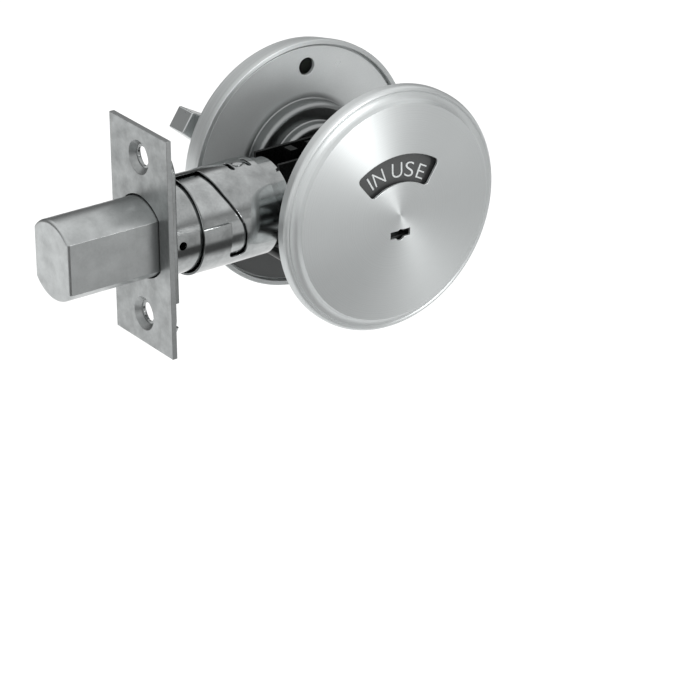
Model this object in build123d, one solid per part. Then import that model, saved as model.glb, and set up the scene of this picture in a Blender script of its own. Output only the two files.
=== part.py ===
"""Tubular deadbolt with an occupancy indicator outside and a thumbturn inside.

Millimetres, +Z up. The origin is the centre of the door's cross bore, on the bolt's axis.
The bolt is thrown along -X, the indicator side faces -Y and the thumbturn side faces +Y.
The model is at rest with the bolt thrown and the indicator's first legend in its window.
"""
import os
from math import cos, radians, sin, sqrt

from build123d import *

# Door
door_thickness = 34.9
backset = 60.325

# Clearances
sliding_gap = 0.35
running_fit = 0.05
nesting_fit = 0.05
pin_fit = 0.03

# Shared axes
trim_drop = 1.5
spindle_drop = 5.0
turn_deg = 90.0

# Faceplate and the stamped tray behind it
faceplate_height = 57.15
faceplate_width = 25.4
faceplate_thickness = 1.4
faceplate_corner_r = 0.8
faceplate_screw_spacing = 41.3
faceplate_screw_hole_d = 4.9
countersink_d = 8.8
countersink_depth = 1.1
tray_height = 50.4
tray_rim = 0.75
tray_depth = 1.5
tray_sheet = 0.6
tray_corner_r = 7.0
tray_edge_r = 0.5
tray_notch_height = 6.8
tray_notch_centre = 17.6
tray_notch_width = 3.4
tray_notch_lip = 0.4
tray_cup_floor = 0.4
tray_cup_rim = 0.3
stake_notch = 2.2

# Bolt
bolt_throw = 25.4
bolt_round_d = 20.6
bolt_flats = 15.9
bolt_nose_r = 0.9
saw_pin_d = 6.0
saw_pin_setback = 2.7
saw_bore_relief = 0.75

# Nested tubes that reach from the faceplate to the cross bore
tube_gap = 0.45
tube_wall = 0.65
tube_rear_x = 23.2
bulkhead_thickness = 1.0
stake_hole_d = 2.2
stake_hole_setback = 4.8
collar_wall = 0.5
collar_setback = 10.4
collar_length = 20.0
sleeve_wall = 0.5
sleeve_rear_x = 28.0
helix_start = 5.8
helix_middle = 8.9
helix_middle_deg = 140.0
helix_top_deg = 88.0
helix_flat_deg = 108.0
helix_end = 7.8
helix_end_width = 4.7
helix_end_deg = 172.0
helix_last_deg = 213.0
helix_corner_r = 1.75
lance_length = 4.2
lance_width = 1.1
lance_pitch = 5.2
lance_setback = 4.8
lance_deg = 95.0
lance_dimple_r = 2.4
lance_dimple_depth = 0.4

# Crank case
case_half_width = 5.6
case_wall = 0.9
case_half_height = 11.35
case_rear_x = 18.2
case_corner = 2.5
case_rivet_d = 3.2
case_rivet_head_d = 4.6
case_rivet_head = 0.6
case_rivet_x = 13.5
case_rivet_drop = 8.2

# Crank
crank_hub_d = 8.8
crank_journal_d = 6.8
crank_arm_width = 4.4
crank_arm_thickness = 2.0
crank_pin_d = 2.4

# Bolt tail
tail_thickness = 3.0
tail_strap_top = 3.2
tail_fork_rise = 0.9
tail_prong = 2.2
tail_slot_gap = 0.85
tail_socket_depth = 8.0
tail_pin_d = 3.0
tail_pin_setback = 4.0
tail_pin_inset = 0.4
leaf_thickness = 0.4
leaf_width = 2.8
leaf_length = 9.0
leaf_foot = 5.0

# Spindle and its cross pin
blade_width = 5.0
blade_thickness = 2.2
blade_in_driver = 4.2
blade_in_hub = 13.0
cross_pin_d = 2.0
cross_pin_depth = 5.5
cross_pin_inset = 0.2

# Outside indicator plate
plate_r = 32.0
plate_border = 3.6
plate_wall = 1.9
plate_bead_r = 1.15
plate_step = 0.3
plate_cove_height = 1.85
plate_cove_sag = 0.35
plate_dome_rise = 2.1
plate_sheet = 0.9
plate_rim_sheet = 1.2
window_inner_r = 13.5
window_outer_r = 21.2
window_half_deg = 37.0
window_corner_r = 1.3
key_slot_width = 5.9
key_slot_height = 1.9
key_round_d = 2.9
key_round_drop = 0.25
outside_back_thickness = 1.2
thread_collar_d = 7.0
thread_collar_depth = 1.6

# Indicator dial and its driver
dial_centre_r = 8.6
dial_margin = 1.0
dial_sheet = 0.8
dial_margin_deg = 3.5
dial_gap = 0.85
driver_hub_d = 10.0
driver_flange_d = 15.0
driver_boss_d = 8.0
driver_flange_thickness = 1.0
driver_tail = 3.2
driver_slot_depth = 2.4
driver_slot_gap = 0.15

# Fasteners of the two turning shafts
clip_thickness = 0.8
clip_ring = 2.4
clip_groove_depth = 0.8
clip_mouth = 4.6
washer_thickness = 0.35

# Inside rose
rose_r = 33.0
rose_skirt = 1.4
rose_taper = 1.1
rose_wall = 6.4
rose_crease_r = 0.9
rose_dome_rise = 4.5
rose_sheet = 1.2
rose_side_sheet = 1.3
rose_plate_recess = 0.8
back_plate_sheet = 1.1
back_plate_gap = 0.6
boss_step_r = 17.2
boss_step = 4.0
boss_shelf = 4.7
boss_nose = 3.0
boss_fillet = 1.4

# Mounting screws
screw_inset = 0.7
screw_deg = 30.0
screw_d = 4.0
screw_head_d = 7.8
screw_crown = 1.3
screw_cone = 1.9
screw_recess = 0.85
screw_proud = 0.1
screw_end_gap = 0.2
screw_gap = 0.2
screw_column_wall = 1.1
spare_hole_d = 4.6
spare_hole_circle_r = 25.9
spare_hole_deg = 85.7
cross_recess_width = 1.0
cross_recess_span = 4.2
cross_recess_depth = 1.5

# Thumbturn
turn_hub_d = 14.4
turn_neck_d = 12.0
turn_shaft_d = 9.8
turn_shaft_tail = 0.9
bush_wall = 1.0
bush_flange = 0.9
bush_flange_thickness = 0.8
bush_proud = 0.1
lever_rest_deg = 34.5
lever_long = 30.5
lever_short = 21.0
lever_middle = 12.4
lever_tip = 5.2
lever_front = 8.4
lever_thickness = 7.7
lever_tip_thickness = 6.4
lever_middle_r = 5.0
lever_edge_r = 0.4

# Overshoot of a cutting solid past the face that it cuts
past = 1.0

# Places worked out from the sizes above
half_door = door_thickness / 2
trim_z = -trim_drop
spindle_z = trim_z - spindle_drop
faceplate_back_x = faceplate_thickness - backset
tube_r = bolt_round_d / 2 + tube_gap
tube_outer_r = tube_r + tube_wall
collar_r = tube_outer_r + nesting_fit
collar_outer_r = collar_r + collar_wall
sleeve_r = collar_outer_r + nesting_fit
sleeve_outer_r = sleeve_r + sleeve_wall
bulkhead_x = -tube_rear_x - bulkhead_thickness
bolt_nose_x = -backset - bolt_throw
bolt_rear_x = bulkhead_x - sliding_gap - bolt_throw
crank_radius = bolt_throw / 2 / sin(radians(turn_deg / 2))
crank_pin_x = -bolt_throw / 2
crank_pin_z = spindle_z + crank_radius * cos(radians(turn_deg / 2))
tail_bottom_z = spindle_z + crank_hub_d / 2 + sliding_gap
tail_fork_top = spindle_z + crank_radius + tail_fork_rise
tail_socket_x = bolt_rear_x - tail_socket_depth
plate_face_r = plate_r - plate_border
plate_face_depth = plate_wall + plate_bead_r + plate_cove_height
plate_depth = plate_face_depth + plate_dome_rise
dial_outer_r = window_outer_r + dial_margin
screw_circle_r = plate_face_r - thread_collar_d / 2 - screw_inset
rose_shoulder_r = rose_r - rose_taper
rose_edge_r = rose_shoulder_r - rose_crease_r
rose_depth = rose_wall + rose_crease_r + rose_dome_rise
bush_r = turn_hub_d / 2 + running_fit


def along_x(radius, x0, x1, y=0.0, z=0.0):
    """A cylinder along X between two planes."""
    return Pos((x0 + x1) / 2, y, z) * Rot(0, 90, 0) * Cylinder(radius, abs(x1 - x0))


def along_y(radius, y0, y1, x=0.0, z=0.0):
    """A cylinder along Y between two planes."""
    return Pos(x, (y0 + y1) / 2, z) * Rot(90, 0, 0) * Cylinder(radius, abs(y1 - y0))


def block(x0, x1, y0, y1, z0, z1):
    """A box between two corners."""
    centre = Pos((x0 + x1) / 2, (y0 + y1) / 2, (z0 + z1) / 2)
    return centre * Box(abs(x1 - x0), abs(y1 - y0), abs(z1 - z0))


def turned(outline, z=0.0):
    """A closed outline of (radius, y) edges turned about a Y axis at height z."""
    return Pos(0, 0, z) * revolve(make_face(outline.edges()), Axis.Y)


def ring(inner_r, outer_r, y0, y1, z=0.0):
    """A flat ring about a Y axis at height z."""
    return along_y(outer_r, y0, y1, z=z) - along_y(inner_r, y0 - past, y1 + past, z=z)


def tube(inner_r, outer_r, x0, x1):
    """A tube about the bolt's axis."""
    return along_x(outer_r, x0, x1) - along_x(inner_r, x0 - past, x1 + past)


def dome_arc(edge_r, edge_y, apex_y):
    """The arc of a shallow dome from its edge to its apex on the axis."""
    rise = apex_y - edge_y
    sphere_r = (edge_r ** 2 + rise ** 2) / (2 * abs(rise))
    drop = sphere_r - sqrt(sphere_r ** 2 - (edge_r / 2) ** 2)
    middle = (edge_r / 2, apex_y - drop * (1 if rise > 0 else -1))
    return ThreePointArc((edge_r, edge_y), middle, (0, apex_y))


def dome_rise(radius, edge_r, rise):
    """How far a shallow dome falls from its apex at a radius."""
    sphere_r = (edge_r ** 2 + rise ** 2) / (2 * rise)
    return sphere_r - sqrt(sphere_r ** 2 - radius ** 2)


def radial_plane(angle_deg, radius=0.0):
    """A plane facing outwards from the bolt's axis, its x along X and its y towards smaller angles."""
    out = (0, cos(radians(angle_deg)), sin(radians(angle_deg)))
    return Plane(origin=(0, out[1] * radius, out[2] * radius), x_dir=(1, 0, 0), z_dir=out)


def bolt_section(round_r, half_flats):
    """The section of the bolt: a round with two flats that face -Y and +Y."""
    return Plane.YZ * (Circle(round_r) & Rectangle(2 * half_flats, 4 * round_r))


def bolt_prism(round_r, half_flats, x0, x1):
    """The bolt's section drawn out between two planes."""
    return Pos(x0, 0, 0) * extrude(bolt_section(round_r, half_flats), x1 - x0)


def screw_places():
    """The (x, z) places of the two mounting screws."""
    x = screw_circle_r * cos(radians(screw_deg))
    z = trim_z - screw_circle_r * sin(radians(screw_deg))
    return [(-x, z), (x, z)]


# Latch

def faceplate():
    """The plate let into the door's edge, with the bolt's opening and two countersunk holes."""
    plate = block(-backset, faceplate_back_x, -faceplate_width / 2, faceplate_width / 2,
                  -faceplate_height / 2, faceplate_height / 2)
    plate = fillet(plate.edges().filter_by(Axis.X), faceplate_corner_r)
    plate -= bolt_prism(bolt_round_d / 2 + sliding_gap, bolt_flats / 2 + sliding_gap,
                        -backset - past, faceplate_back_x + past)
    for side in (-1, 1):
        z = side * faceplate_screw_spacing / 2
        sink = Cone(countersink_d / 2, faceplate_screw_hole_d / 2, countersink_depth)
        plate -= Pos(-backset + countersink_depth / 2, 0, z) * Rot(0, 90, 0) * sink
        plate -= along_x(faceplate_screw_hole_d / 2, -backset, faceplate_back_x + past, z=z)
    return plate


def backing_tray():
    """The stamped tray that stiffens the faceplate, open towards it and dimpled at the screws."""
    x0 = faceplate_back_x
    hole_r = tube_outer_r + nesting_fit
    half_width = hole_r + tray_rim
    outer = block(x0, x0 + tray_depth, -half_width, half_width, -tray_height / 2, tray_height / 2)
    outer = fillet(outer.edges().filter_by(Axis.X), tray_corner_r)
    half_w, half_h = half_width - tray_sheet, tray_height / 2 - tray_sheet
    inner = block(x0 - past, x0 + tray_depth - tray_sheet, -half_w, half_w, -half_h, half_h)
    inner = fillet(inner.edges().filter_by(Axis.X), tray_corner_r - tray_sheet)
    outer = fillet(outer.faces().sort_by(Axis.X)[-1].edges(), tray_edge_r)
    tray = outer - inner
    for side in (-1, 1):
        z = side * faceplate_screw_spacing / 2
        dent = countersink_d / 2
        tray += along_x(dent, x0, x0 + tray_depth - tray_sheet / 2, z=z) & outer
        cup = Pos(x0 + tray_sheet + tray_depth / 2, 0, z) * Rot(0, 90, 0)
        tray -= cup * Cone(faceplate_screw_hole_d / 2 + tray_cup_floor, dent - tray_cup_rim, tray_depth)
        tray -= along_x(faceplate_screw_hole_d / 2, x0 - past, x0 + tray_depth + past, z=z)
    tray -= along_x(hole_r, x0 - past, x0 + tray_depth + past)
    for angle in (55, 125, 235, 305):
        place = radial_plane(angle, tube_outer_r) * Pos(x0 + tray_depth / 2, 0, 0)
        tray -= place * Box(tray_depth + 2 * past, stake_notch, stake_notch)
    for side in (-1, 1):
        z = side * tray_notch_centre
        tray -= block(x0 + tray_notch_lip, x0 + tray_depth + past,
                      side * (half_width - tray_notch_width), side * (half_width + past),
                      z - tray_notch_height / 2, z + tray_notch_height / 2)
    return tray


def front_tube():
    """The inner tube, staked behind the faceplate, that guides the bolt."""
    body = tube(tube_r, tube_outer_r, faceplate_back_x, -tube_rear_x)
    hole_x = -backset + stake_hole_setback
    return body - along_y(stake_hole_d / 2, -tube_outer_r - past, tube_outer_r + past, x=hole_x)


def adjusting_collar():
    """The collar between the tube and the sleeve that sets the backset."""
    front = -backset + collar_setback
    return tube(collar_r, collar_outer_r, front, front + collar_length)


def outer_sleeve():
    """The outer sleeve with its helical adjusting window and two lanced slots."""
    front = -backset + collar_setback
    sleeve = tube(sleeve_r, sleeve_outer_r, front, -sleeve_rear_x)
    middle_deg = (helix_top_deg + helix_end_deg) / 2
    reach = sleeve_outer_r + 1
    start_x, middle_x, end_x = front + helix_start, front + helix_middle, front + helix_end

    def across(angle):
        return -sleeve_outer_r * sin(radians(angle - middle_deg))

    top, flat, low = (across(a) for a in (helix_top_deg, helix_flat_deg, helix_end_deg))
    outline = Polyline((end_x, low), (front - past, low), (front - past, top), (start_x, top),
                       (start_x, flat))
    outline += ThreePointArc((start_x, flat), (middle_x, across(helix_middle_deg)),
                             (end_x + helix_end_width, low))
    outline += Line((end_x + helix_end_width, low), (end_x, low))
    opening = radial_plane(middle_deg) * make_face(outline.edges())
    sleeve -= extrude(opening, reach)

    last_deg = (helix_end_deg + helix_last_deg) / 2
    half_arc = sleeve_outer_r * sin(radians((helix_last_deg - helix_end_deg) / 2))
    last = Rectangle(helix_end_width, 2 * (half_arc + past))
    last = fillet(last.vertices().sort_by(Axis.Y)[:2], helix_corner_r)
    last = Pos(end_x + helix_end_width / 2, 1) * last
    sleeve -= extrude(radial_plane(last_deg) * last, reach)

    lance_x = -sleeve_rear_x - lance_setback
    for side in (-1, 1):
        slot = Rot(0, 0, 90) * SlotOverall(lance_length, lance_width)
        slot = Pos(lance_x + side * lance_pitch / 2, 0) * slot
        sleeve -= extrude(radial_plane(lance_deg) * slot, reach)
    dimple = Pos(lance_x, 0, lance_dimple_r - lance_dimple_depth) * Sphere(lance_dimple_r)
    return sleeve - radial_plane(lance_deg, sleeve_outer_r) * dimple


def bulkhead():
    """The disc that closes the tube's rear end and carries the crank case."""
    disc = along_x(tube_r - nesting_fit, bulkhead_x, -tube_rear_x)
    half = tail_thickness / 2 + sliding_gap
    return disc - block(bulkhead_x - past, -tube_rear_x + past, -half, half,
                        tail_bottom_z - sliding_gap, tail_strap_top + sliding_gap)


def case_side(side):
    """One stamped half of the crank case, with its bottom lips."""
    inner, outer = case_half_width - case_wall, case_half_width
    profile = Rectangle(case_rear_x + tube_rear_x, 2 * case_half_height)
    profile = Pos((case_rear_x - tube_rear_x) / 2, 0) * profile
    profile = chamfer(profile.vertices().sort_by(Axis.X)[-2:], case_corner)
    half = Pos(0, side * (inner + outer) / 2, 0) * extrude(Plane.XZ * profile, case_wall / 2, both=True)
    gap = crank_hub_d / 2 + 2 * sliding_gap
    for x0, x1 in ((-tube_rear_x, -gap), (gap, case_rear_x - case_corner)):
        half += block(x0, x1, side * nesting_fit, side * inner,
                      -case_half_height, case_wall - case_half_height)
    half -= along_y(crank_journal_d / 2 + running_fit, -outer - past, outer + past, z=spindle_z)
    for x in (-case_rivet_x, case_rivet_x):
        half -= along_y(case_rivet_d / 2 + pin_fit, -outer - past, outer + past, x=x, z=-case_rivet_drop)
    return half


def case_rivets():
    """Two spacer rivets that hold the halves of the case together."""
    rivets = []
    for x in (-case_rivet_x, case_rivet_x):
        rivet = along_y(case_rivet_d / 2, -case_half_width, case_half_width, x=x, z=-case_rivet_drop)
        for side in (-1, 1):
            rivet += along_y(case_rivet_head_d / 2, side * case_half_width,
                             side * (case_half_width + case_rivet_head), x=x, z=-case_rivet_drop)
        rivets.append(rivet)
    return Compound(children=rivets)


def detent_leaf():
    """A leaf spring on the bulkhead that bears on the underside of the tail."""
    foot_x = -tube_rear_x
    half = leaf_width / 2
    blade_z = tail_bottom_z - sliding_gap - leaf_thickness
    drop = 2 * leaf_thickness
    outline = Polyline((foot_x, blade_z - leaf_foot), (foot_x + leaf_thickness, blade_z - leaf_foot),
                       (foot_x + leaf_thickness, blade_z - drop), (foot_x + leaf_length, blade_z),
                       (foot_x + leaf_length, blade_z + leaf_thickness),
                       (foot_x, blade_z - drop + leaf_thickness),
                       (foot_x, blade_z - leaf_foot))
    return extrude(Plane.XZ * make_face(outline.edges()), half, both=True)


def bolt_head():
    """The thrown bolt: round above and below, flat at the sides, bored for its hard pin."""
    head = bolt_prism(bolt_round_d / 2, bolt_flats / 2, bolt_nose_x, bolt_rear_x)
    head = fillet(head.faces().sort_by(Axis.X)[0].edges(), bolt_nose_r)
    half = tail_thickness / 2 + nesting_fit
    head -= block(tail_socket_x, bolt_rear_x + past, -half, half,
                  tail_bottom_z - nesting_fit, tail_strap_top + nesting_fit)
    head -= along_x(saw_pin_d / 2 + pin_fit, bolt_nose_x + saw_pin_setback - nesting_fit,
                    tail_socket_x + saw_bore_relief)
    pin_x = bolt_rear_x - tail_pin_setback
    return head - along_y(tail_pin_d / 2 + pin_fit, -bolt_flats, bolt_flats, x=pin_x)


def saw_guard_pin():
    """A hardened pin that turns freely inside the bolt."""
    return along_x(saw_pin_d / 2, bolt_nose_x + saw_pin_setback, tail_socket_x - sliding_gap)


def tail_pin():
    """The pin that ties the tail to the bolt."""
    end = bolt_flats / 2 - tail_pin_inset
    return along_y(tail_pin_d / 2, -end, end, x=bolt_rear_x - tail_pin_setback)


def bolt_tail():
    """The strap that the crank pushes, forked at its rear round the crank's pin."""
    half = tail_thickness / 2
    slot_half = crank_pin_d / 2 + tail_slot_gap
    fork_half = slot_half + tail_prong
    strap = block(tail_socket_x + nesting_fit, crank_pin_x, -half, half, tail_bottom_z, tail_strap_top)
    fork = block(crank_pin_x - fork_half, crank_pin_x + fork_half, -half, half,
                 tail_bottom_z, tail_fork_top)
    slot_bottom = crank_pin_z - crank_pin_d / 2 - sliding_gap
    slot = block(crank_pin_x - slot_half, crank_pin_x + slot_half, -half - past, half + past,
                 slot_bottom, tail_fork_top + past)
    tail = strap + fork - slot
    pin_x = bolt_rear_x - tail_pin_setback
    return tail - along_y(tail_pin_d / 2 + pin_fit, -half - past, half + past, x=pin_x)


def blade_hole(y0, y1):
    """The slot that the spindle's blade passes through."""
    half_w, half_t = blade_width / 2 + nesting_fit, blade_thickness / 2 + nesting_fit
    return block(-half_w, half_w, y0, y1, spindle_z - half_t, spindle_z + half_t)


def crank():
    """The crank: a hub with two journals, two arms and the pin that drives the tail."""
    inner = case_half_width - case_wall
    hub_half = inner - sliding_gap
    body = along_y(crank_hub_d / 2, -hub_half, hub_half, z=spindle_z)
    body += along_y(crank_journal_d / 2, -case_half_width, case_half_width, z=spindle_z)
    arm_in = tail_thickness / 2 + sliding_gap
    arm_out = arm_in + crank_arm_thickness
    half = crank_arm_width / 2
    for side in (-1, 1):
        y0, y1 = sorted((side * arm_in, side * arm_out))
        beam = block(-half, half, y0, y1, 0, crank_radius)
        body += Pos(0, 0, spindle_z) * Rot(0, -turn_deg / 2, 0) * beam
        body += along_y(half, y0, y1, x=crank_pin_x, z=crank_pin_z)
    body += along_y(crank_pin_d / 2, -arm_out, arm_out, x=crank_pin_x, z=crank_pin_z)
    return body - blade_hole(-case_half_width - past, case_half_width + past)


# Outside indicator trim

def outside(depth):
    """The y of a depth in front of the door's outside face."""
    return -(half_door + depth)


def indicator_plate():
    """The pressed outside plate: beaded rim, cove, domed face, curved window and key slot."""
    bead_end = plate_wall + plate_bead_r
    cove_r = plate_r - plate_bead_r - plate_step
    cove_mid_r = (cove_r + plate_face_r) / 2 - plate_cove_sag
    cove_mid = (bead_end + plate_face_depth) / 2 - plate_cove_sag
    bead_45 = plate_bead_r * cos(radians(45))
    outer = Polyline((plate_r, outside(0)), (plate_r, outside(plate_wall)))
    outer += ThreePointArc((plate_r, outside(plate_wall)),
                           (plate_r - plate_bead_r + bead_45, outside(plate_wall + bead_45)),
                           (plate_r - plate_bead_r, outside(bead_end)))
    outer += Line((plate_r - plate_bead_r, outside(bead_end)), (cove_r, outside(bead_end)))
    outer += ThreePointArc((cove_r, outside(bead_end)), (cove_mid_r, outside(cove_mid)),
                           (plate_face_r, outside(plate_face_depth)))
    outer += dome_arc(plate_face_r, outside(plate_face_depth), outside(plate_depth))
    inner_r = plate_r - plate_rim_sheet
    face_in_r = plate_face_r - plate_sheet
    outer += Line((0, outside(plate_depth)), (0, outside(plate_depth - plate_sheet)))
    outer += dome_arc(face_in_r, outside(plate_face_depth - plate_sheet),
                      outside(plate_depth - plate_sheet))
    outer += Polyline((face_in_r, outside(plate_face_depth - plate_sheet)),
                      (inner_r, outside(bead_end - plate_sheet)), (inner_r, outside(0)),
                      (plate_r, outside(0)))
    plate = turned(outer, trim_z)
    y0, y1 = outside(plate_depth + past), outside(outside_back_thickness)
    plate -= indicator_window(y0, y1)
    slot = block(-key_slot_width / 2, key_slot_width / 2, y0, y1,
                 spindle_z - key_slot_height / 2, spindle_z + key_slot_height / 2)
    slot += along_y(key_round_d / 2, y0, y1, z=spindle_z - key_round_drop)
    return plate - slot


def fan(inner_r, outer_r, start_deg, end_deg):
    """A flat fan between two radii, its angles from +X towards +Z."""
    def at(radius, angle):
        return (radius * cos(radians(angle)), radius * sin(radians(angle)))

    middle = (start_deg + end_deg) / 2
    outline = ThreePointArc(at(outer_r, start_deg), at(outer_r, middle), at(outer_r, end_deg))
    outline += Line(at(outer_r, end_deg), at(inner_r, end_deg))
    outline += ThreePointArc(at(inner_r, end_deg), at(inner_r, middle), at(inner_r, start_deg))
    outline += Line(at(inner_r, start_deg), at(outer_r, start_deg))
    return make_face(outline.edges())


def indicator_window(y0, y1):
    """The curved opening that shows one legend, about the spindle's axis."""
    sector = fan(window_inner_r, window_outer_r, 90 - window_half_deg, 90 + window_half_deg)
    sector = fillet(sector.vertices(), window_corner_r)
    return Pos(0, max(y0, y1), spindle_z) * extrude(Plane.XZ * sector, abs(y1 - y0))


def outside_back_plate():
    """The disc that closes the indicator plate and bears on the door."""
    disc_r = plate_r - plate_rim_sheet - nesting_fit
    disc = along_y(disc_r, outside(0), outside(outside_back_thickness), z=trim_z)
    y0, y1 = outside(-past), outside(outside_back_thickness + past)
    disc -= along_y(driver_hub_d / 2 + running_fit, y0, y1, z=spindle_z)
    for x, z in screw_places():
        disc -= along_y(screw_d / 2 + nesting_fit, y0, y1, x=x, z=z)
    return disc


def threaded_collars():
    """Two collars on the back plate that the mounting screws pull on."""
    collars = []
    y0, y1 = outside(outside_back_thickness), outside(outside_back_thickness + thread_collar_depth)
    for x, z in screw_places():
        collar = along_y(thread_collar_d / 2, y0, y1, x=x, z=z)
        collars.append(collar - along_y(screw_d / 2 + nesting_fit, y0 + past, y1 - past, x=x, z=z))
    return Compound(children=collars)


def dial_crown():
    """Depth of the dial's face on the spindle's axis, clear of the plate as it turns."""
    return plate_depth - plate_sheet - dome_rise(spindle_drop, plate_face_r, plate_dome_rise) - dial_gap


def driver_shoulder():
    """Depth of the driver's shoulder, where the dial's domed back seats."""
    return dial_crown() - dial_sheet - dome_rise(driver_flange_d / 2, plate_face_r, plate_dome_rise)


def indicator_dial():
    """The domed fan that carries the two legends behind the window."""
    crown = dial_crown()
    fall = dome_rise(dial_outer_r, plate_face_r, plate_dome_rise)
    front = dome_arc(dial_outer_r, outside(crown - fall), outside(crown))
    rear = dome_arc(dial_outer_r, outside(crown - fall - dial_sheet), outside(crown - dial_sheet))
    outline = front + Line((0, outside(crown)), (0, outside(crown - dial_sheet))) + rear
    outline += Line((dial_outer_r, outside(crown - fall - dial_sheet)),
                    (dial_outer_r, outside(crown - fall)))
    shell = turned(outline, spindle_z)
    spread = window_half_deg + dial_margin_deg
    sector = fan(dial_centre_r / 2, dial_outer_r + past, 90 - spread, 90 + turn_deg + spread)
    keep = Pos(0, outside(0), spindle_z) * extrude(Plane.XZ * sector, plate_depth + past)
    keep += along_y(dial_centre_r, outside(0), outside(plate_depth + past), z=spindle_z)
    bore_r = driver_boss_d / 2 + nesting_fit
    return (shell & keep) - along_y(bore_r, outside(0), outside(plate_depth + past), z=spindle_z)


def emergency_driver():
    """The slotted hub that turns the dial and takes a release tool."""
    shoulder = outside(driver_shoulder())
    top = outside(dial_crown())
    flange_y = shoulder + driver_flange_thickness
    hub = along_y(driver_hub_d / 2, outside(-driver_tail), shoulder, z=spindle_z)
    hub += along_y(driver_flange_d / 2, flange_y, shoulder, z=spindle_z)
    hub += along_y(driver_boss_d / 2, shoulder, top, z=spindle_z)
    hub -= clip_groove(driver_hub_d / 2, outside(0) + washer_thickness)
    half_w, half_h = key_slot_width / 2 + driver_slot_gap, key_slot_height / 2 + driver_slot_gap
    hub -= block(-half_w, half_w, top - past, top + driver_slot_depth,
                 spindle_z - half_h, spindle_z + half_h)
    blade_end = outside(blade_in_driver - driver_tail)
    return hub - blade_hole(blade_end - nesting_fit, outside(-driver_tail) + past)


def clip_groove(shaft_r, y0):
    """The groove for a retaining clip in a shaft, from y0 on."""
    return ring(shaft_r - clip_groove_depth, shaft_r + past, y0, y0 + clip_thickness, z=spindle_z)


def shaft_clip(shaft_r, y0):
    """An open retaining ring that sits in a shaft's groove."""
    inner = shaft_r - clip_groove_depth + pin_fit
    clip = ring(inner, shaft_r + clip_ring, y0 + pin_fit, y0 + clip_thickness - pin_fit, z=spindle_z)
    mouth = block(-clip_mouth / 2, clip_mouth / 2, y0 - past, y0 + clip_thickness + past,
                  spindle_z - shaft_r - clip_ring - past, spindle_z)
    return clip - mouth


# Inside thumbturn trim

def inside(depth):
    """The y of a depth behind the door's inside face."""
    return half_door + depth


def rose_inner_r():
    """Radius of the rose's hollow in front of its ledge."""
    return rose_shoulder_r - rose_side_sheet


def rose_inner_depth(radius):
    """Depth of the inner side of the rose's dome at a distance from its centre."""
    return rose_depth - rose_sheet - dome_rise(radius, rose_inner_r(), rose_dome_rise)


def screw_seat_depth():
    """Depth of the floor that a mounting screw's head is let into."""
    return rose_depth - dome_rise(screw_circle_r, rose_edge_r, rose_dome_rise) - screw_recess


def inside_rose():
    """The domed rose with its rim, inner ledge, screw columns and hub opening."""
    crease = rose_crease_r
    edge_depth = rose_wall + crease
    corner = crease * (1 - cos(radians(45)))
    ledge_depth = rose_plate_recess + back_plate_sheet
    rim_in_r = rose_r - rose_sheet
    outline = Polyline((rose_r, inside(0)), (rose_r, inside(rose_skirt)),
                       (rose_shoulder_r, inside(rose_wall)))
    outline += ThreePointArc((rose_shoulder_r, inside(rose_wall)),
                             (rose_shoulder_r - corner, inside(edge_depth - corner)),
                             (rose_edge_r, inside(edge_depth)))
    outline += dome_arc(rose_edge_r, inside(edge_depth), inside(rose_depth))
    outline += Line((0, inside(rose_depth)), (0, inside(rose_depth - rose_sheet)))
    in_r = rose_inner_r()
    outline += dome_arc(in_r, inside(edge_depth - rose_sheet), inside(rose_depth - rose_sheet))
    outline += Polyline((in_r, inside(edge_depth - rose_sheet)), (in_r, inside(ledge_depth)),
                        (rim_in_r, inside(ledge_depth)), (rim_in_r, inside(0)), (rose_r, inside(0)))
    rose = turned(outline, trim_z)
    seat = screw_seat_depth()
    head_r, shank_r = screw_head_d / 2 + screw_gap, screw_d / 2 + screw_gap
    for x, z in screw_places():
        rose += along_y(head_r + screw_column_wall, inside(ledge_depth), inside(seat), x=x, z=z)
    for x, z in screw_places():
        rose -= along_y(head_r, inside(seat), inside(rose_depth + past), x=x, z=z)
        sink = Cone(shank_r, head_r, screw_cone)
        rose -= Pos(x, inside(seat - screw_cone / 2), z) * Rot(-90, 0, 0) * sink
        rose -= along_y(shank_r, inside(0), inside(rose_depth), x=x, z=z)
    bore_r = bush_r + bush_wall + nesting_fit
    return rose - along_y(bore_r, inside(0), inside(rose_depth + past), z=spindle_z)


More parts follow.
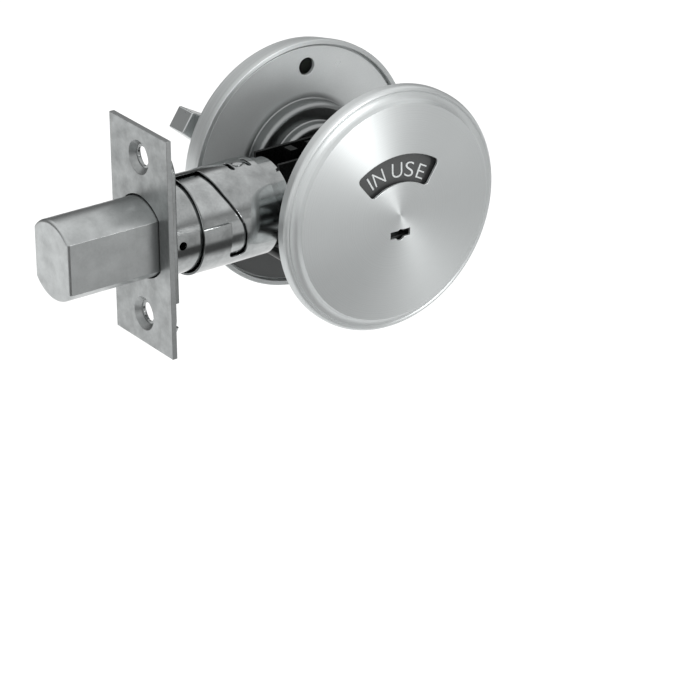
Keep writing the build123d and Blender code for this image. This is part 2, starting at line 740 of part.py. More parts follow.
def inside_back_plate():
    """The polished plate inside the rose, with a stepped boss towards the latch."""
    face, back = rose_plate_recess, rose_plate_recess + back_plate_sheet
    step, nose = face - boss_step, face - boss_step - boss_nose
    disc_r = rose_r - rose_sheet - back_plate_gap
    boss_nose_r = boss_step_r - boss_shelf
    t = back_plate_sheet
    f = boss_fillet
    c = f * (1 - cos(radians(45)))
    outline = Polyline((disc_r, inside(face)), (boss_step_r, inside(face)), (boss_step_r, inside(step + f)))
    outline += ThreePointArc((boss_step_r, inside(step + f)), (boss_step_r - c, inside(step + c)),
                             (boss_step_r - f, inside(step)))
    outline += Polyline((boss_step_r - f, inside(step)), (boss_nose_r, inside(step)),
                        (boss_nose_r, inside(nose + f)))
    outline += ThreePointArc((boss_nose_r, inside(nose + f)), (boss_nose_r - c, inside(nose + c)),
                             (boss_nose_r - f, inside(nose)))
    outline += Polyline((boss_nose_r - f, inside(nose)), (0, inside(nose)), (0, inside(nose + t)),
                        (boss_nose_r - t, inside(nose + t)), (boss_nose_r - t, inside(step + t)),
                        (boss_step_r - t, inside(step + t)), (boss_step_r - t, inside(back)),
                        (disc_r, inside(back)), (disc_r, inside(face)))
    plate = turned(outline, trim_z)
    shaft_r = turn_shaft_d / 2 + running_fit
    plate -= along_y(shaft_r, inside(nose - past), inside(nose + t + past), z=spindle_z)
    for x, z in screw_places():
        plate -= along_y(screw_d / 2 + screw_gap, inside(face - past), inside(back + past), x=x, z=z)
    x = spare_hole_circle_r * cos(radians(spare_hole_deg))
    z = trim_z + spare_hole_circle_r * sin(radians(spare_hole_deg))
    return plate - along_y(spare_hole_d / 2, inside(face - past), inside(back + past), x=x, z=z)


def boss_nose_y():
    """The y of the boss's face towards the latch."""
    return inside(rose_plate_recess - boss_step - boss_nose)


def hub_bush():
    """The bush between the thumbturn's hub and the rose."""
    flange_r = bush_r + bush_wall + bush_flange
    seat = inside(rose_inner_depth(spindle_drop + flange_r) - nesting_fit)
    bush = ring(bush_r, bush_r + bush_wall, seat - bush_flange_thickness / 2,
                inside(rose_depth + bush_proud), z=spindle_z)
    return bush + ring(bush_r, flange_r, seat - bush_flange_thickness, seat, z=spindle_z)


def lever_blank():
    """The boat-shaped lever, long towards +X, its front face up the Y axis."""
    front = rose_depth + lever_front
    half_mid, half_tip = lever_middle / 2, lever_tip / 2
    plan = Polyline((lever_long, half_tip), (0, half_mid), (-lever_short, half_tip),
                    (-lever_short, -half_tip), (0, -half_mid), (lever_long, -half_tip),
                    (lever_long, half_tip))
    face = make_face(plan.edges())
    face = fillet(face.vertices().sort_by(Axis.Y)[::5], lever_middle_r)
    lever = Pos(0, inside(front), 0) * extrude(Plane.XZ * face, lever_thickness)
    under = lever_thickness - lever_tip_thickness
    low = inside(front - lever_thickness)
    for reach in (lever_long, -lever_short):
        flat = turn_hub_d / 2 * (1 if reach > 0 else -1)
        tip = reach + (past if reach > 0 else -past)
        wedge = Polyline((flat, low), (tip, low + under), (tip, low - past), (flat, low - past),
                         (flat, low))
        lever -= extrude(make_face(wedge.edges()), lever_middle, both=True)
    return fillet(lever.edges(), lever_edge_r)


def thumbturn():
    """The thumbturn: lever, hub and the shaft that runs in the boss."""
    low = boss_nose_y()
    shoulder = low + back_plate_sheet + washer_thickness
    lever = Pos(0, 0, spindle_z) * Rot(0, 180 + lever_rest_deg, 0) * lever_blank()
    hub_end = inside(rose_depth + lever_front - lever_thickness / 2)
    hub_start = inside(rose_plate_recess + back_plate_sheet + sliding_gap)
    turn = lever + along_y(turn_hub_d / 2, hub_start, hub_end, z=spindle_z)
    turn += along_y(turn_neck_d / 2, shoulder, hub_start, z=spindle_z)
    shaft_end = low - washer_thickness - clip_thickness - turn_shaft_tail
    turn += along_y(turn_shaft_d / 2, shaft_end, shoulder, z=spindle_z)
    turn -= clip_groove(turn_shaft_d / 2, low - washer_thickness - clip_thickness)
    turn -= blade_hole(shaft_end - past, shoulder + blade_in_hub + nesting_fit)
    return turn - along_x(cross_pin_d / 2 + pin_fit, -turn_hub_d, turn_hub_d, y=shoulder + cross_pin_depth,
                          z=spindle_z)


def cross_pin():
    """The pin that ties the spindle's blade into the thumbturn's hub."""
    y = boss_nose_y() + back_plate_sheet + washer_thickness + cross_pin_depth
    half = turn_neck_d / 2 - cross_pin_inset
    return along_x(cross_pin_d / 2, -half, half, y=y, z=spindle_z)


def spindle():
    """The flat spindle from the thumbturn through the crank to the driver."""
    y0 = outside(blade_in_driver - driver_tail)
    y1 = boss_nose_y() + back_plate_sheet + washer_thickness + blade_in_hub
    half_w, half_t = blade_width / 2, blade_thickness / 2
    blade = block(-half_w, half_w, y0, y1, spindle_z - half_t, spindle_z + half_t)
    y = boss_nose_y() + back_plate_sheet + washer_thickness + cross_pin_depth
    return blade - along_x(cross_pin_d / 2 + pin_fit, -half_w - past, half_w + past, y=y, z=spindle_z)


def mounting_screws():
    """Two oval-head screws with crossed recesses that pull the trims together."""
    screws = []
    end = outside(outside_back_thickness + thread_collar_depth - screw_end_gap)
    rim = inside(screw_seat_depth() + screw_proud)
    neck = rim - screw_cone
    head_r, shank_r = screw_head_d / 2, screw_d / 2
    for x, z in screw_places():
        outline = Polyline((0, end), (shank_r, end), (shank_r, neck), (head_r, rim))
        outline += dome_arc(head_r, rim, rim + screw_crown)
        outline += Line((0, rim + screw_crown), (0, end))
        screw = turned(outline)
        top, floor = rim + screw_crown + past, rim + screw_crown - cross_recess_depth
        half_w, half_s = cross_recess_width / 2, cross_recess_span / 2
        screw -= block(-half_s, half_s, floor, top, -half_w, half_w)
        screw -= block(-half_w, half_w, floor, top, -half_s, half_s)
        screws.append(Pos(x, 0, z) * screw)
    return Compound(children=screws)


def parts():
    """Every node's name and shape."""
    low = boss_nose_y()
    outside_washer = outside(outside_back_thickness)
    flange_y = outside(driver_shoulder()) + driver_flange_thickness
    clip_out = outside(0) + washer_thickness
    return {
        "faceplate": faceplate(),
        "backing_tray": backing_tray(),
        "front_tube": front_tube(),
        "adjusting_collar": adjusting_collar(),
        "outer_sleeve": outer_sleeve(),
        "rear_bulkhead": bulkhead(),
        "case_outside_half": case_side(-1),
        "case_inside_half": case_side(1),
        "case_rivets": case_rivets(),
        "detent_leaf": detent_leaf(),
        "bolt_head": bolt_head(),
        "saw_guard_pin": saw_guard_pin(),
        "bolt_tail": bolt_tail(),
        "tail_pin": tail_pin(),
        "crank": crank(),
        "indicator_plate": indicator_plate(),
        "outside_back_plate": outside_back_plate(),
        "threaded_collars": threaded_collars(),
        "indicator_dial": indicator_dial(),
        "emergency_driver": emergency_driver(),
        "driver_spacer": ring(driver_hub_d / 2 + running_fit, driver_flange_d / 2,
                              flange_y + running_fit, outside_washer, z=spindle_z),
        "driver_washer": ring(driver_hub_d / 2 + running_fit, driver_hub_d / 2 + clip_ring,
                              outside(0), outside(0) + washer_thickness, z=spindle_z),
        "driver_clip": shaft_clip(driver_hub_d / 2, clip_out),
        "inside_rose": inside_rose(),
        "inside_back_plate": inside_back_plate(),
        "hub_bush": hub_bush(),
        "thumbturn": thumbturn(),
        "hub_washer": ring(turn_shaft_d / 2 + running_fit, turn_neck_d / 2, low + back_plate_sheet,
                           low + back_plate_sheet + washer_thickness, z=spindle_z),
        "shaft_washer": ring(turn_shaft_d / 2 + running_fit, turn_shaft_d / 2 + clip_ring,
                             low - washer_thickness, low, z=spindle_z),
        "shaft_clip": shaft_clip(turn_shaft_d / 2, low - washer_thickness - clip_thickness),
        "spindle": spindle(),
        "cross_pin": cross_pin(),
        "mounting_screws": mounting_screws(),
    }


os.makedirs("parts", exist_ok=True)
for name, shape in parts().items():
    export_step(shape, f"parts/{name}.step")
    box = shape.bounding_box()
    print(f"{name}: {len(shape.solids())} solid(s), {shape.volume:.0f} mm3, "
          f"{box.size.X:.1f} x {box.size.Y:.1f} x {box.size.Z:.1f}")
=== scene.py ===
"""Looks of the occupancy deadbolt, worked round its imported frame."""

from math import asin, atan2, cos, degrees, pi, radians, sin, sqrt

import bpy
from mathutils import Matrix, Vector


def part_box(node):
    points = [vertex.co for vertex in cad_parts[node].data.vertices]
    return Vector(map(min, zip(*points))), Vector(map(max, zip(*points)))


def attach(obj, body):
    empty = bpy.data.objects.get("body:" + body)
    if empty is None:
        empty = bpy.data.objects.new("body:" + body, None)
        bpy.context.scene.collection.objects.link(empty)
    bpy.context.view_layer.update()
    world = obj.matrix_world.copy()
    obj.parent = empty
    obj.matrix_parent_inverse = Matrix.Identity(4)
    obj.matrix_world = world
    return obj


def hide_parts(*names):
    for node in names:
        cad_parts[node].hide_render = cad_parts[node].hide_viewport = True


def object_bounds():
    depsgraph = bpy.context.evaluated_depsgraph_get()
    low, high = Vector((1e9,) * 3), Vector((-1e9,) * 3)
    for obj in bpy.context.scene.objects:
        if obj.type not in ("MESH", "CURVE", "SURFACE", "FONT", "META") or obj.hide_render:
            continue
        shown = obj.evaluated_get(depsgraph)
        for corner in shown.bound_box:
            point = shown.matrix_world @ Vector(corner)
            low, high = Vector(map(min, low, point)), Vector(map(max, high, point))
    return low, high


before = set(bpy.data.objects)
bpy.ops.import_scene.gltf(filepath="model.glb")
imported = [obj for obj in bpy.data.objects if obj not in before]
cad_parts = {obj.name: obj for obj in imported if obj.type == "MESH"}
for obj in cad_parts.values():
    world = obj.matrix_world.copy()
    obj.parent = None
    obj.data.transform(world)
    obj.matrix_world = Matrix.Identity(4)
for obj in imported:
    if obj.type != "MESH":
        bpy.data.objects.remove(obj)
cad_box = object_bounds()

MM = 0.001

# Places read from the frame
plate_low, plate_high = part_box("indicator_plate")
rose_low, rose_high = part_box("inside_rose")
back_low, back_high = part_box("inside_back_plate")
driver_low, driver_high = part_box("emergency_driver")
dial_low, dial_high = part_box("indicator_dial")
face_low, face_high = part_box("faceplate")
bolt_low, bolt_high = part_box("bolt_head")
collar_low, collar_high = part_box("adjusting_collar")
sleeve_low, sleeve_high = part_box("outer_sleeve")
turn_low, turn_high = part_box("thumbturn")
screws_low, screws_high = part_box("mounting_screws")
TRIM_Z = (plate_low.z + plate_high.z) / 2
SPINDLE_Z = (driver_low.z + driver_high.z) / 2
OUTSIDE_Y = plate_high.y
INSIDE_Y = rose_low.y
PLATE_R = (plate_high.x - plate_low.x) / 2
ROSE_R = (rose_high.x - rose_low.x) / 2

# Steps round a turned piece, along a small curve and across a dome
ROUND_STEPS = 192
CURVE_STEPS = 8
DOME_STEPS = 6

# How far a cutter runs past what it cuts
PAST = 1.0 * MM

# How near two points count as one place, and how far two cuts that meet overlap
NEAR = 0.01 * MM
OVERLAP = 0.02 * MM

# Softened edges, and the play round a pin or blade in its hole
EDGE_SOFT = 0.12 * MM
BOLT_EDGE_SOFT = 0.05 * MM
BACK_EDGE_SOFT = 0.15 * MM
PIN_PLAY = 0.05 * MM

# Outside indicator plate
PLATE_WALL = 1.9 * MM
PLATE_BEAD_R = 1.15 * MM
PLATE_BEAD_END_DEG = -82
PLATE_GROOVE_R = 30.65 * MM
PLATE_GROOVE_DEPTH = 0.16 * MM
PLATE_FACE_R = 28.4 * MM
PLATE_FACE_RISE = 2.1 * MM
PLATE_COVE_RISE = 1.85 * MM
DOME_SPHERE_R = (PLATE_FACE_R ** 2 + PLATE_FACE_RISE ** 2) / (2 * PLATE_FACE_RISE)
PLATE_COVE_R = 30.5 * MM
PLATE_COVE_LEFT_OUT = 6
PLATE_SHEET = 0.8 * MM
PLATE_RIM_SHEET = 1.2 * MM
PLATE_EDGE_R = 0.22 * MM
PLATE_LIP_DEG = (-35, -75)
PLATE_FACE_STEP = 0.05 * MM
WINDOW_IN_R = 13.3 * MM
WINDOW_OUT_R = 20.8 * MM
WINDOW_HALF_DEG = 37.5
WINDOW_CORNER_R = 1.4 * MM
WINDOW_ROLL_R = 0.16 * MM
KEY_ROLL_R = 0.12 * MM
KEY_SLOT = (6.1 * MM, 2.1 * MM)
KEY_ROUND_R = 1.55 * MM
KEY_ROUND_DROP = 0.25 * MM

# Legends on the dial, each with its letters' angles from +X
LETTER_HEIGHT = 4.05 * MM
LETTER_WIDEN = {"N": 0.96, "U": 1.0, "S": 1.32, "E": 1.12}
LETTER_WIDEN_OTHERS = 1.05
CAPITAL_SHARE = 0.73
LETTER_THIN = 0.06 * MM
LETTER_RADIUS = 15.9 * MM
LETTER_RISE = 0.1 * MM
LEGENDS = {"in_use": ("INUSE", (117.6, 107.4, 87.6, 74.2, 60.9)),
           "vacant": ("VACANT", (207.5, 196.2, 185.0, 173.8, 162.6, 152.0))}

# Faceplate and bolt
FACE_SCREW_SPACING = 41.3 * MM
SCREW_HOLE_R = 2.45 * MM
COUNTERSINK_R = 4.4 * MM
COUNTERSINK_DEPTH = 1.9 * MM
SLIDING_GAP = 0.35 * MM
BOLT_NOSE_R = 0.9 * MM
BOLT_SOCKET_HEIGHT = 5.2 * MM

# Camera: the photograph's viewing angle, with no lens shift
VIEW_AZIMUTH = -35.399
VIEW_ELEVATION = 25.3232
VIEW_ROLL = -0.4465
VIEW_DISTANCE = 0.90373
VIEW_AIM = (0.001709, 0.0, -0.048097)
FOCAL_PIXELS = 3500
FRAME_PIXELS = 700
SENSOR = 36.0


# Modelling by hand

def deselect():
    """Leaves every object deselected, in object mode."""
    if bpy.context.mode != "OBJECT":
        bpy.ops.object.mode_set(mode="OBJECT")
    bpy.ops.object.select_all(action="DESELECT")


def pick(piece):
    """Selects one piece and makes it active."""
    deselect()
    piece.select_set(True)
    bpy.context.view_layer.objects.active = piece


def settle(piece):
    """Puts a piece's place, turn and scale into its mesh."""
    pick(piece)
    bpy.ops.object.transform_apply(location=True, rotation=True, scale=True)


def drawn(name, points):
    """Draws a chain of edges out of one vertex, point by point, and stays in edit mode."""
    deselect()
    bpy.ops.mesh.primitive_plane_add(size=MM, location=points[0])
    piece = bpy.context.object
    piece.name = name
    bpy.ops.object.mode_set(mode="EDIT")
    bpy.ops.mesh.select_mode(type="VERT")
    bpy.ops.mesh.select_all(action="SELECT")
    bpy.ops.mesh.merge(type="CENTER")
    for here, there in zip(points, points[1:]):
        bpy.ops.mesh.extrude_region_move(TRANSFORM_OT_translate={"value": there - here})
    bpy.ops.mesh.select_all(action="SELECT")
    return piece


def close_up(piece):
    """Merges doubled points, points the faces outwards and settles the piece."""
    bpy.ops.mesh.select_all(action="SELECT")
    bpy.ops.mesh.remove_doubles(threshold=0.0005 * MM)
    bpy.ops.mesh.normals_make_consistent(inside=False)
    settle(piece)
    return piece


def turned(name, outline, axis, z=0.0):
    """Spins an outline of (radius, distance along the axis) points about X or Y at height z."""
    along = Vector((1, 0, 0)) if axis == "X" else Vector((0, 1, 0))
    centre = Vector((0, 0, z))
    points = [centre + Vector((0, 0, radius)) + along * distance for radius, distance in outline]
    piece = drawn(name, points)
    bpy.ops.mesh.spin(steps=ROUND_STEPS, angle=2 * pi, center=centre, axis=along)
    return close_up(piece)


def prism(name, points, reach):
    """Fills a closed outline of points and extrudes it by a vector."""
    piece = drawn(name, points)
    bpy.ops.mesh.edge_face_add()
    bpy.ops.mesh.extrude_region_move(TRANSFORM_OT_translate={"value": reach})
    return close_up(piece)


def rod(radius, axis, start, end, place=(0, 0)):
    """A plain round cutter along X or Y, its other two coordinates given in order."""
    deselect()
    middle, length = (start + end) / 2, abs(end - start)
    where = (middle, place[0], place[1]) if axis == "X" else (place[0], middle, place[1])
    turn = (0, pi / 2, 0) if axis == "X" else (pi / 2, 0, 0)
    bpy.ops.mesh.primitive_cylinder_add(vertices=64, radius=radius, depth=length, location=where,
                                        rotation=turn)
    settle(bpy.context.object)
    return bpy.context.object


def cone(wide_r, narrow_r, axis, start, end, place=(0, 0)):
    """A tapered cutter along X or Y, wide at its start."""
    deselect()
    middle, length = (start + end) / 2, abs(end - start)
    where = (middle, place[0], place[1]) if axis == "X" else (place[0], middle, place[1])
    turn = (0, pi / 2, 0) if axis == "X" else (-pi / 2, 0, 0)
    if end < start:
        wide_r, narrow_r = narrow_r, wide_r
    bpy.ops.mesh.primitive_cone_add(vertices=64, radius1=wide_r, radius2=narrow_r, depth=length,
                                    location=where, rotation=turn)
    settle(bpy.context.object)
    return bpy.context.object


def block(low, high):
    """A box between two corners."""
    deselect()
    low, high = Vector(low), Vector(high)
    bpy.ops.mesh.primitive_cube_add(size=1.0, location=(low + high) / 2, scale=high - low)
    settle(bpy.context.object)
    return bpy.context.object


def carve(piece, cutters, operation="DIFFERENCE"):
    """Cuts each cutter out of a piece, or joins it on, and takes the cutter away."""
    for cutter in cutters:
        pick(piece)
        bpy.ops.object.modifier_add(type="BOOLEAN")
        change = piece.modifiers[-1]
        change.operation = operation
        change.solver = "EXACT"
        change.object = cutter
        bpy.ops.object.modifier_apply(modifier=change.name)
        bpy.data.objects.remove(cutter)


def open_centre(piece, z):
    """Melts the fans of thin triangles round a Y axis into single faces, ready to be cut."""
    pick(piece)
    for part in (piece.data.polygons, piece.data.edges, piece.data.vertices):
        part.foreach_set("select", [False] * len(part))
    for point in piece.data.vertices:
        point.select = abs(point.co.x) < NEAR and abs(point.co.z - z) < NEAR
    bpy.ops.object.mode_set(mode="EDIT")
    bpy.ops.mesh.select_mode(type="VERT")
    bpy.ops.mesh.dissolve_verts()
    bpy.ops.object.mode_set(mode="OBJECT")


def soften(piece, width, segments=3, sharper_than=30.0):
    """Rounds the edges of a piece that are sharper than an angle."""
    pick(piece)
    bpy.ops.object.modifier_add(type="BEVEL")
    change = piece.modifiers[-1]
    change.width = width
    change.segments = segments
    change.limit_method = "ANGLE"
    change.angle_limit = radians(sharper_than)
    change.use_clamp_overlap = False
    bpy.ops.object.modifier_apply(modifier=change.name)


def smooth(piece, degrees_apart=40.0):
    """Shades a piece smooth up to an angle, its large faces leading."""
    pick(piece)
    bpy.ops.object.shade_smooth_by_angle(angle=radians(degrees_apart), keep_sharp_edges=False)
    bpy.ops.object.modifier_add(type="WEIGHTED_NORMAL")
    change = piece.modifiers[-1]
    change.keep_sharp = True
    bpy.ops.object.modifier_apply(modifier=change.name)


def dress(piece, material, body, slot, *nodes):
    """Gives a finished piece its material, its body and the nodes it stands for."""
    piece.data.materials.clear()
    piece.data.materials.append(material)
    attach(piece, body)
    if nodes:
        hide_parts(*nodes)


def arc(centre, radius, start_deg, end_deg, steps=CURVE_STEPS, squash=1.0):
    """Points of an arc in a plane, its second half-axis squashed."""
    turns = [radians(start_deg + (end_deg - start_deg) * k / steps) for k in range(steps + 1)]
    return [(centre[0] + radius * cos(t), centre[1] + radius * squash * sin(t)) for t in turns]


def dome(edge_r, edge_y, apex_y, steps=DOME_STEPS):
    """Points of a shallow dome, from its edge to its apex on the axis."""
    rise = apex_y - edge_y
    sphere_r = (edge_r ** 2 + rise ** 2) / (2 * rise)
    radii = [edge_r * (1 - k / steps) for k in range(steps + 1)]
    side = 1 if rise > 0 else -1
    return [(r, apex_y - sphere_r + side * sqrt(sphere_r ** 2 - r ** 2)) for r in radii]


# Materials

# Painted shade on the inside back plate: darker below, and darker on its boss; the metal round the boss is
# hazier
PAINTED_SHADE_BELOW_Z = (-0.022, -0.012)
PAINTED_SHADE_SHARE = 0.2
BOSS_SHADE_R = 17.6 * MM
BOSS_BLEND = 1.5 * MM
BOSS_SHADE_SHARE = 0.5
BOSS_HAZE = 0.7

# The part of a noise's range that is spread over a finish
NOISE_LOW, NOISE_HIGH = 0.3, 0.7

# Noise scales, in spots per metre
RING_SCALE = 5000.0
CLOUD_SCALE = 60.0
SCREW_SCALE = 2500.0
ENAMEL_SCALE = 3000.0

# How far tone and roughness stray, and how high the fine grain stands
RING_TONE = 0.03
CLOUD_TONE = 0.012
GRAIN_TONE = 0.015
ENAMEL_TONE = 0.006
RING_ROUGHNESS = 0.04
GRAIN_HEIGHT = 0.01 * MM
GRAIN_STRENGTH = 0.3

# Screws: tones of shank and head, and the least share of tone in the grain
SCREW_TONES = (0.03, 0.62)
SCREW_SHADE = 0.94
SCREW_ROUGHNESS = 0.32
SCREW_HEAD_DEPTH = 3 * MM

# Share of red left in a cool grey
COOL_RED = 0.965


class Nodes:
    """A node tree, built up one node at a time."""

    def __init__(self, tree, coordinates):
        self.tree = tree
        self.tree.nodes.clear()
        self.place = self.tree.nodes.new("ShaderNodeTexCoord").outputs[coordinates]

    def node(self, kind, settings=(), **inputs):
        """Adds a node, sets its fields and fills or links its sockets by name or number."""
        made = self.tree.nodes.new(kind)
        for field, value in dict(settings).items():
            setattr(made, field, value)
        for key, value in inputs.items():
            socket = made.inputs[int(key[1:])] if key[0] == "i" and key[1:].isdigit() else made.inputs[key]
            self.feed(socket, value)
        return made

    def feed(self, socket, value):
        """Links a socket to another node's output, or sets its value."""
        if isinstance(value, bpy.types.NodeSocket):
            self.tree.links.new(value, socket)
        else:
            socket.default_value = value

    def maths(self, operation, a, b=0.0):
        """A number worked out from one or two others."""
        return self.node("ShaderNodeMath", {"operation": operation}, i0=a, i1=b).outputs[0]

    def ramp(self, factor, low, high, dark, light):
        """Turns a factor from low to high into a value from dark to light."""
        return self.node("ShaderNodeMapRange", Value=factor, i1=low, i2=high, i3=dark, i4=light).outputs[0]


class Finish(Nodes):
    """A finish: nodes that read Object coordinates and feed one shader."""

    def __init__(self, name):
        self.material = bpy.data.materials.new(name)
        self.material.use_nodes = True
        super().__init__(self.material.node_tree, "Object")
        self.shader = self.tree.nodes.new("ShaderNodeBsdfPrincipled")
        self.output = self.tree.nodes.new("ShaderNodeOutputMaterial")
        self.tree.links.new(self.shader.outputs["BSDF"], self.output.inputs["Surface"])

    def set(self, name, value):
        """Links or sets one of the shader's sockets."""
        self.feed(self.shader.inputs[name], value)

    def moved(self, centre=(0, 0, 0), scale=(1, 1, 1)):
        """Object coordinates measured from a centre, then scaled."""
        shifted = self.node("ShaderNodeVectorMath", {"operation": "SUBTRACT"}, i0=self.place, i1=centre)
        return self.node("ShaderNodeVectorMath", {"operation": "MULTIPLY"}, i0=shifted.outputs[0],
                         i1=scale).outputs[0]

    def noise(self, vector, scale, detail=2.0, roughness=0.5):
        """A cloud of soft spots, per metre."""
        return self.node("ShaderNodeTexNoise", Vector=vector, Scale=scale, Detail=detail,
                         Roughness=roughness).outputs[0]

    def swing(self, noise, dark, light):
        """Spreads the middle of a noise's range from dark to light."""
        return self.ramp(noise, NOISE_LOW, NOISE_HIGH, dark, light)

    def grey(self, value):
        """A slightly cool grey from one number."""
        red = self.maths("MULTIPLY", value, COOL_RED)
        return self.node("ShaderNodeCombineColor", i0=red, i1=value, i2=value).outputs[0]

    def bump(self, height, distance, strength=1.0):
        """Raises the surface by a height in metres times its factor."""
        normal = self.node("ShaderNodeBump", Strength=strength, Distance=distance, Height=height).outputs[0]
        self.set("Normal", normal)

    def round_tangent(self, centre, axis):
        """Directions that run round an axis, for round brushing."""
        arm = self.node("ShaderNodeVectorMath", {"operation": "SUBTRACT"}, i0=self.place, i1=centre)
        return self.node("ShaderNodeVectorMath", {"operation": "CROSS_PRODUCT"}, i0=arm.outputs[0],
                         i1=axis).outputs[0]

    def radius(self, centre):
        """Distance from a Y axis through a centre."""
        flat = self.moved(centre, (1, 0, 1))
        return self.node("ShaderNodeVectorMath", {"operation": "LENGTH"}, i0=flat).outputs["Value"]


def round_brushed(name, tone, roughness, centre, anisotropy, haze):
    """Satin chrome with fine circular brushing about a Y axis."""
    f = Finish(name)
    radius = f.radius(centre)
    rings = f.node("ShaderNodeTexNoise", {"noise_dimensions": "1D"}, W=radius, Scale=RING_SCALE, Detail=3.0,
                   Roughness=0.6).outputs[0]
    clouds = f.noise(f.place, CLOUD_SCALE, 3.0)
    f.set("Base Color", f.grey(f.maths("ADD", f.swing(rings, tone - RING_TONE, tone + RING_TONE),
                                       f.swing(clouds, -CLOUD_TONE, CLOUD_TONE))))
    f.set("Metallic", 1.0 - haze)
    f.set("Roughness", f.swing(rings, roughness - RING_ROUGHNESS, roughness + RING_ROUGHNESS))
    f.set("Anisotropic", anisotropy)
    f.set("Anisotropic Rotation", 0.25)
    f.set("Tangent", f.round_tangent(centre, (0, 1, 0)))
    return f.material


def plated(name, tone, roughness, patch=0.03, grain=2500.0, patch_size=180.0, spread=0.06, boss=None):
    """Plated or cast metal with soft patches and a fine grain; given a boss, painted shade darkens the raised
    boss and the lower part, and the metal round the boss is hazier.
    """
    f = Finish(name)
    patches = f.noise(f.place, patch_size, 4.0, 0.6)
    fine = f.noise(f.place, grain, 2.0)
    shade = f.maths("ADD", f.swing(patches, tone - patch, tone + patch),
                    f.swing(fine, -GRAIN_TONE, GRAIN_TONE))
    f.set("Metallic", 1.0)
    if boss:
        centre, boss_r, share, haze = boss
        out = f.radius(centre)
        height = f.node("ShaderNodeSeparateXYZ", i0=f.place).outputs["Z"]
        # Painted shade: the raised boss and the lower part are painted darker
        shade = f.maths("MULTIPLY", shade, f.ramp(out, boss_r, boss_r + BOSS_BLEND, share, 1.0))
        shade = f.maths("MULTIPLY", shade, f.ramp(height, *PAINTED_SHADE_BELOW_Z, PAINTED_SHADE_SHARE, 1.0))
        f.set("Metallic", f.ramp(out, boss_r, boss_r + BOSS_BLEND, 1.0, 1.0 - haze))
    f.set("Base Color", f.grey(shade))
    f.set("Roughness", f.swing(patches, roughness + spread, roughness - spread))
    f.bump(fine, GRAIN_HEIGHT, GRAIN_STRENGTH)
    return f.material


def screw_metal(name, head_y):
    """Screws with bright heads, dark below them."""
    f = Finish(name)
    depth = f.node("ShaderNodeSeparateXYZ", i0=f.place).outputs["Y"]
    fine = f.noise(f.place, SCREW_SCALE, 2.0)
    tone = f.ramp(depth, head_y - MM, head_y, *SCREW_TONES)
    f.set("Base Color", f.grey(f.maths("MULTIPLY", tone, f.swing(fine, SCREW_SHADE, 1.0))))
    f.set("Metallic", 1.0)
    f.set("Roughness", SCREW_ROUGHNESS)
    f.bump(fine, GRAIN_HEIGHT, GRAIN_STRENGTH)
    return f.material


def enamel(name, tone, roughness):
    """Matt enamel in one grey."""
    f = Finish(name)
    fine = f.noise(f.place, ENAMEL_SCALE, 2.0)
    f.set("Base Color", f.grey(f.swing(fine, tone - ENAMEL_TONE, tone + ENAMEL_TONE)))
    f.set("Roughness", roughness)
    return f.material


trim_centre = (0, 0, TRIM_Z)
satin = round_brushed("satin_chrome", tone=0.69, roughness=0.42, centre=trim_centre, anisotropy=0.72,
                      haze=0.22)
polished = plated("polished_steel", tone=0.66, roughness=0.32, grain=3000.0, patch_size=60.0, spread=0.05,
                  boss=(trim_centre, BOSS_SHADE_R, BOSS_SHADE_SHARE, BOSS_HAZE))
mirror_steel = plated("bright_steel", tone=0.80, roughness=0.16, patch=0.02, grain=3000.0, patch_size=60.0,
                      spread=0.03)
latch = plated("satin_latch", tone=0.50, roughness=0.34, patch=0.06, grain=1500.0, patch_size=220.0)
face_metal = plated("faceplate_steel", tone=0.39, roughness=0.40, patch=0.06, grain=1500.0, patch_size=260.0)
tubes = plated("tube_steel", tone=0.38, roughness=0.15, patch=0.11, patch_size=140.0, spread=0.05)
collar_metal = plated("collar_steel", tone=0.44, roughness=0.15, patch=0.08, patch_size=200.0, spread=0.05)
front_metal = plated("front_tube_steel", tone=0.34, roughness=0.15, patch=0.08, patch_size=200.0, spread=0.05)
dull = plated("dull_steel", tone=0.06, roughness=0.40)
# Dark metal, partly its own dark finish and partly painted shade: near black for the parts deep in the case
black_metal_and_shade = plated("blackened_steel_and_shade", tone=0.022, roughness=0.45, patch=0.006)
dark_metal = plated("dark_metal", tone=0.16, roughness=0.40)
lever_satin = plated("lever_satin", tone=0.58, roughness=0.30, patch=0.02, grain=3000.0)
screws = screw_metal("screw_steel", screws_high.y - SCREW_HEAD_DEPTH)
dial_paint = enamel("dial_enamel", tone=0.075, roughness=0.5)
legend_paint = enamel("legend_enamel", tone=0.72, roughness=0.5)

node_finish = {
    satin: ["hub_bush"],
    screws: ["mounting_screws"],
    mirror_steel: ["outside_back_plate"],
    # Painted shade: the parts deep in the case are near black
    black_metal_and_shade: ["case_outside_half", "case_inside_half", "case_rivets", "rear_bulkhead", "detent_leaf",
                  "bolt_tail", "tail_pin", "crank"],
    front_metal: ["front_tube", "backing_tray"],
    dull: ["saw_guard_pin", "threaded_collars", "driver_washer", "driver_clip", "hub_washer",
           "shaft_washer", "shaft_clip", "spindle", "cross_pin"],
    dark_metal: ["emergency_driver", "driver_spacer"],
    dial_paint: ["indicator_dial"],
}
for material, names in node_finish.items():
    for name in names:
        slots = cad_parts[name].data.materials
        slots.clear()
        slots.append(material)


# Outside indicator plate

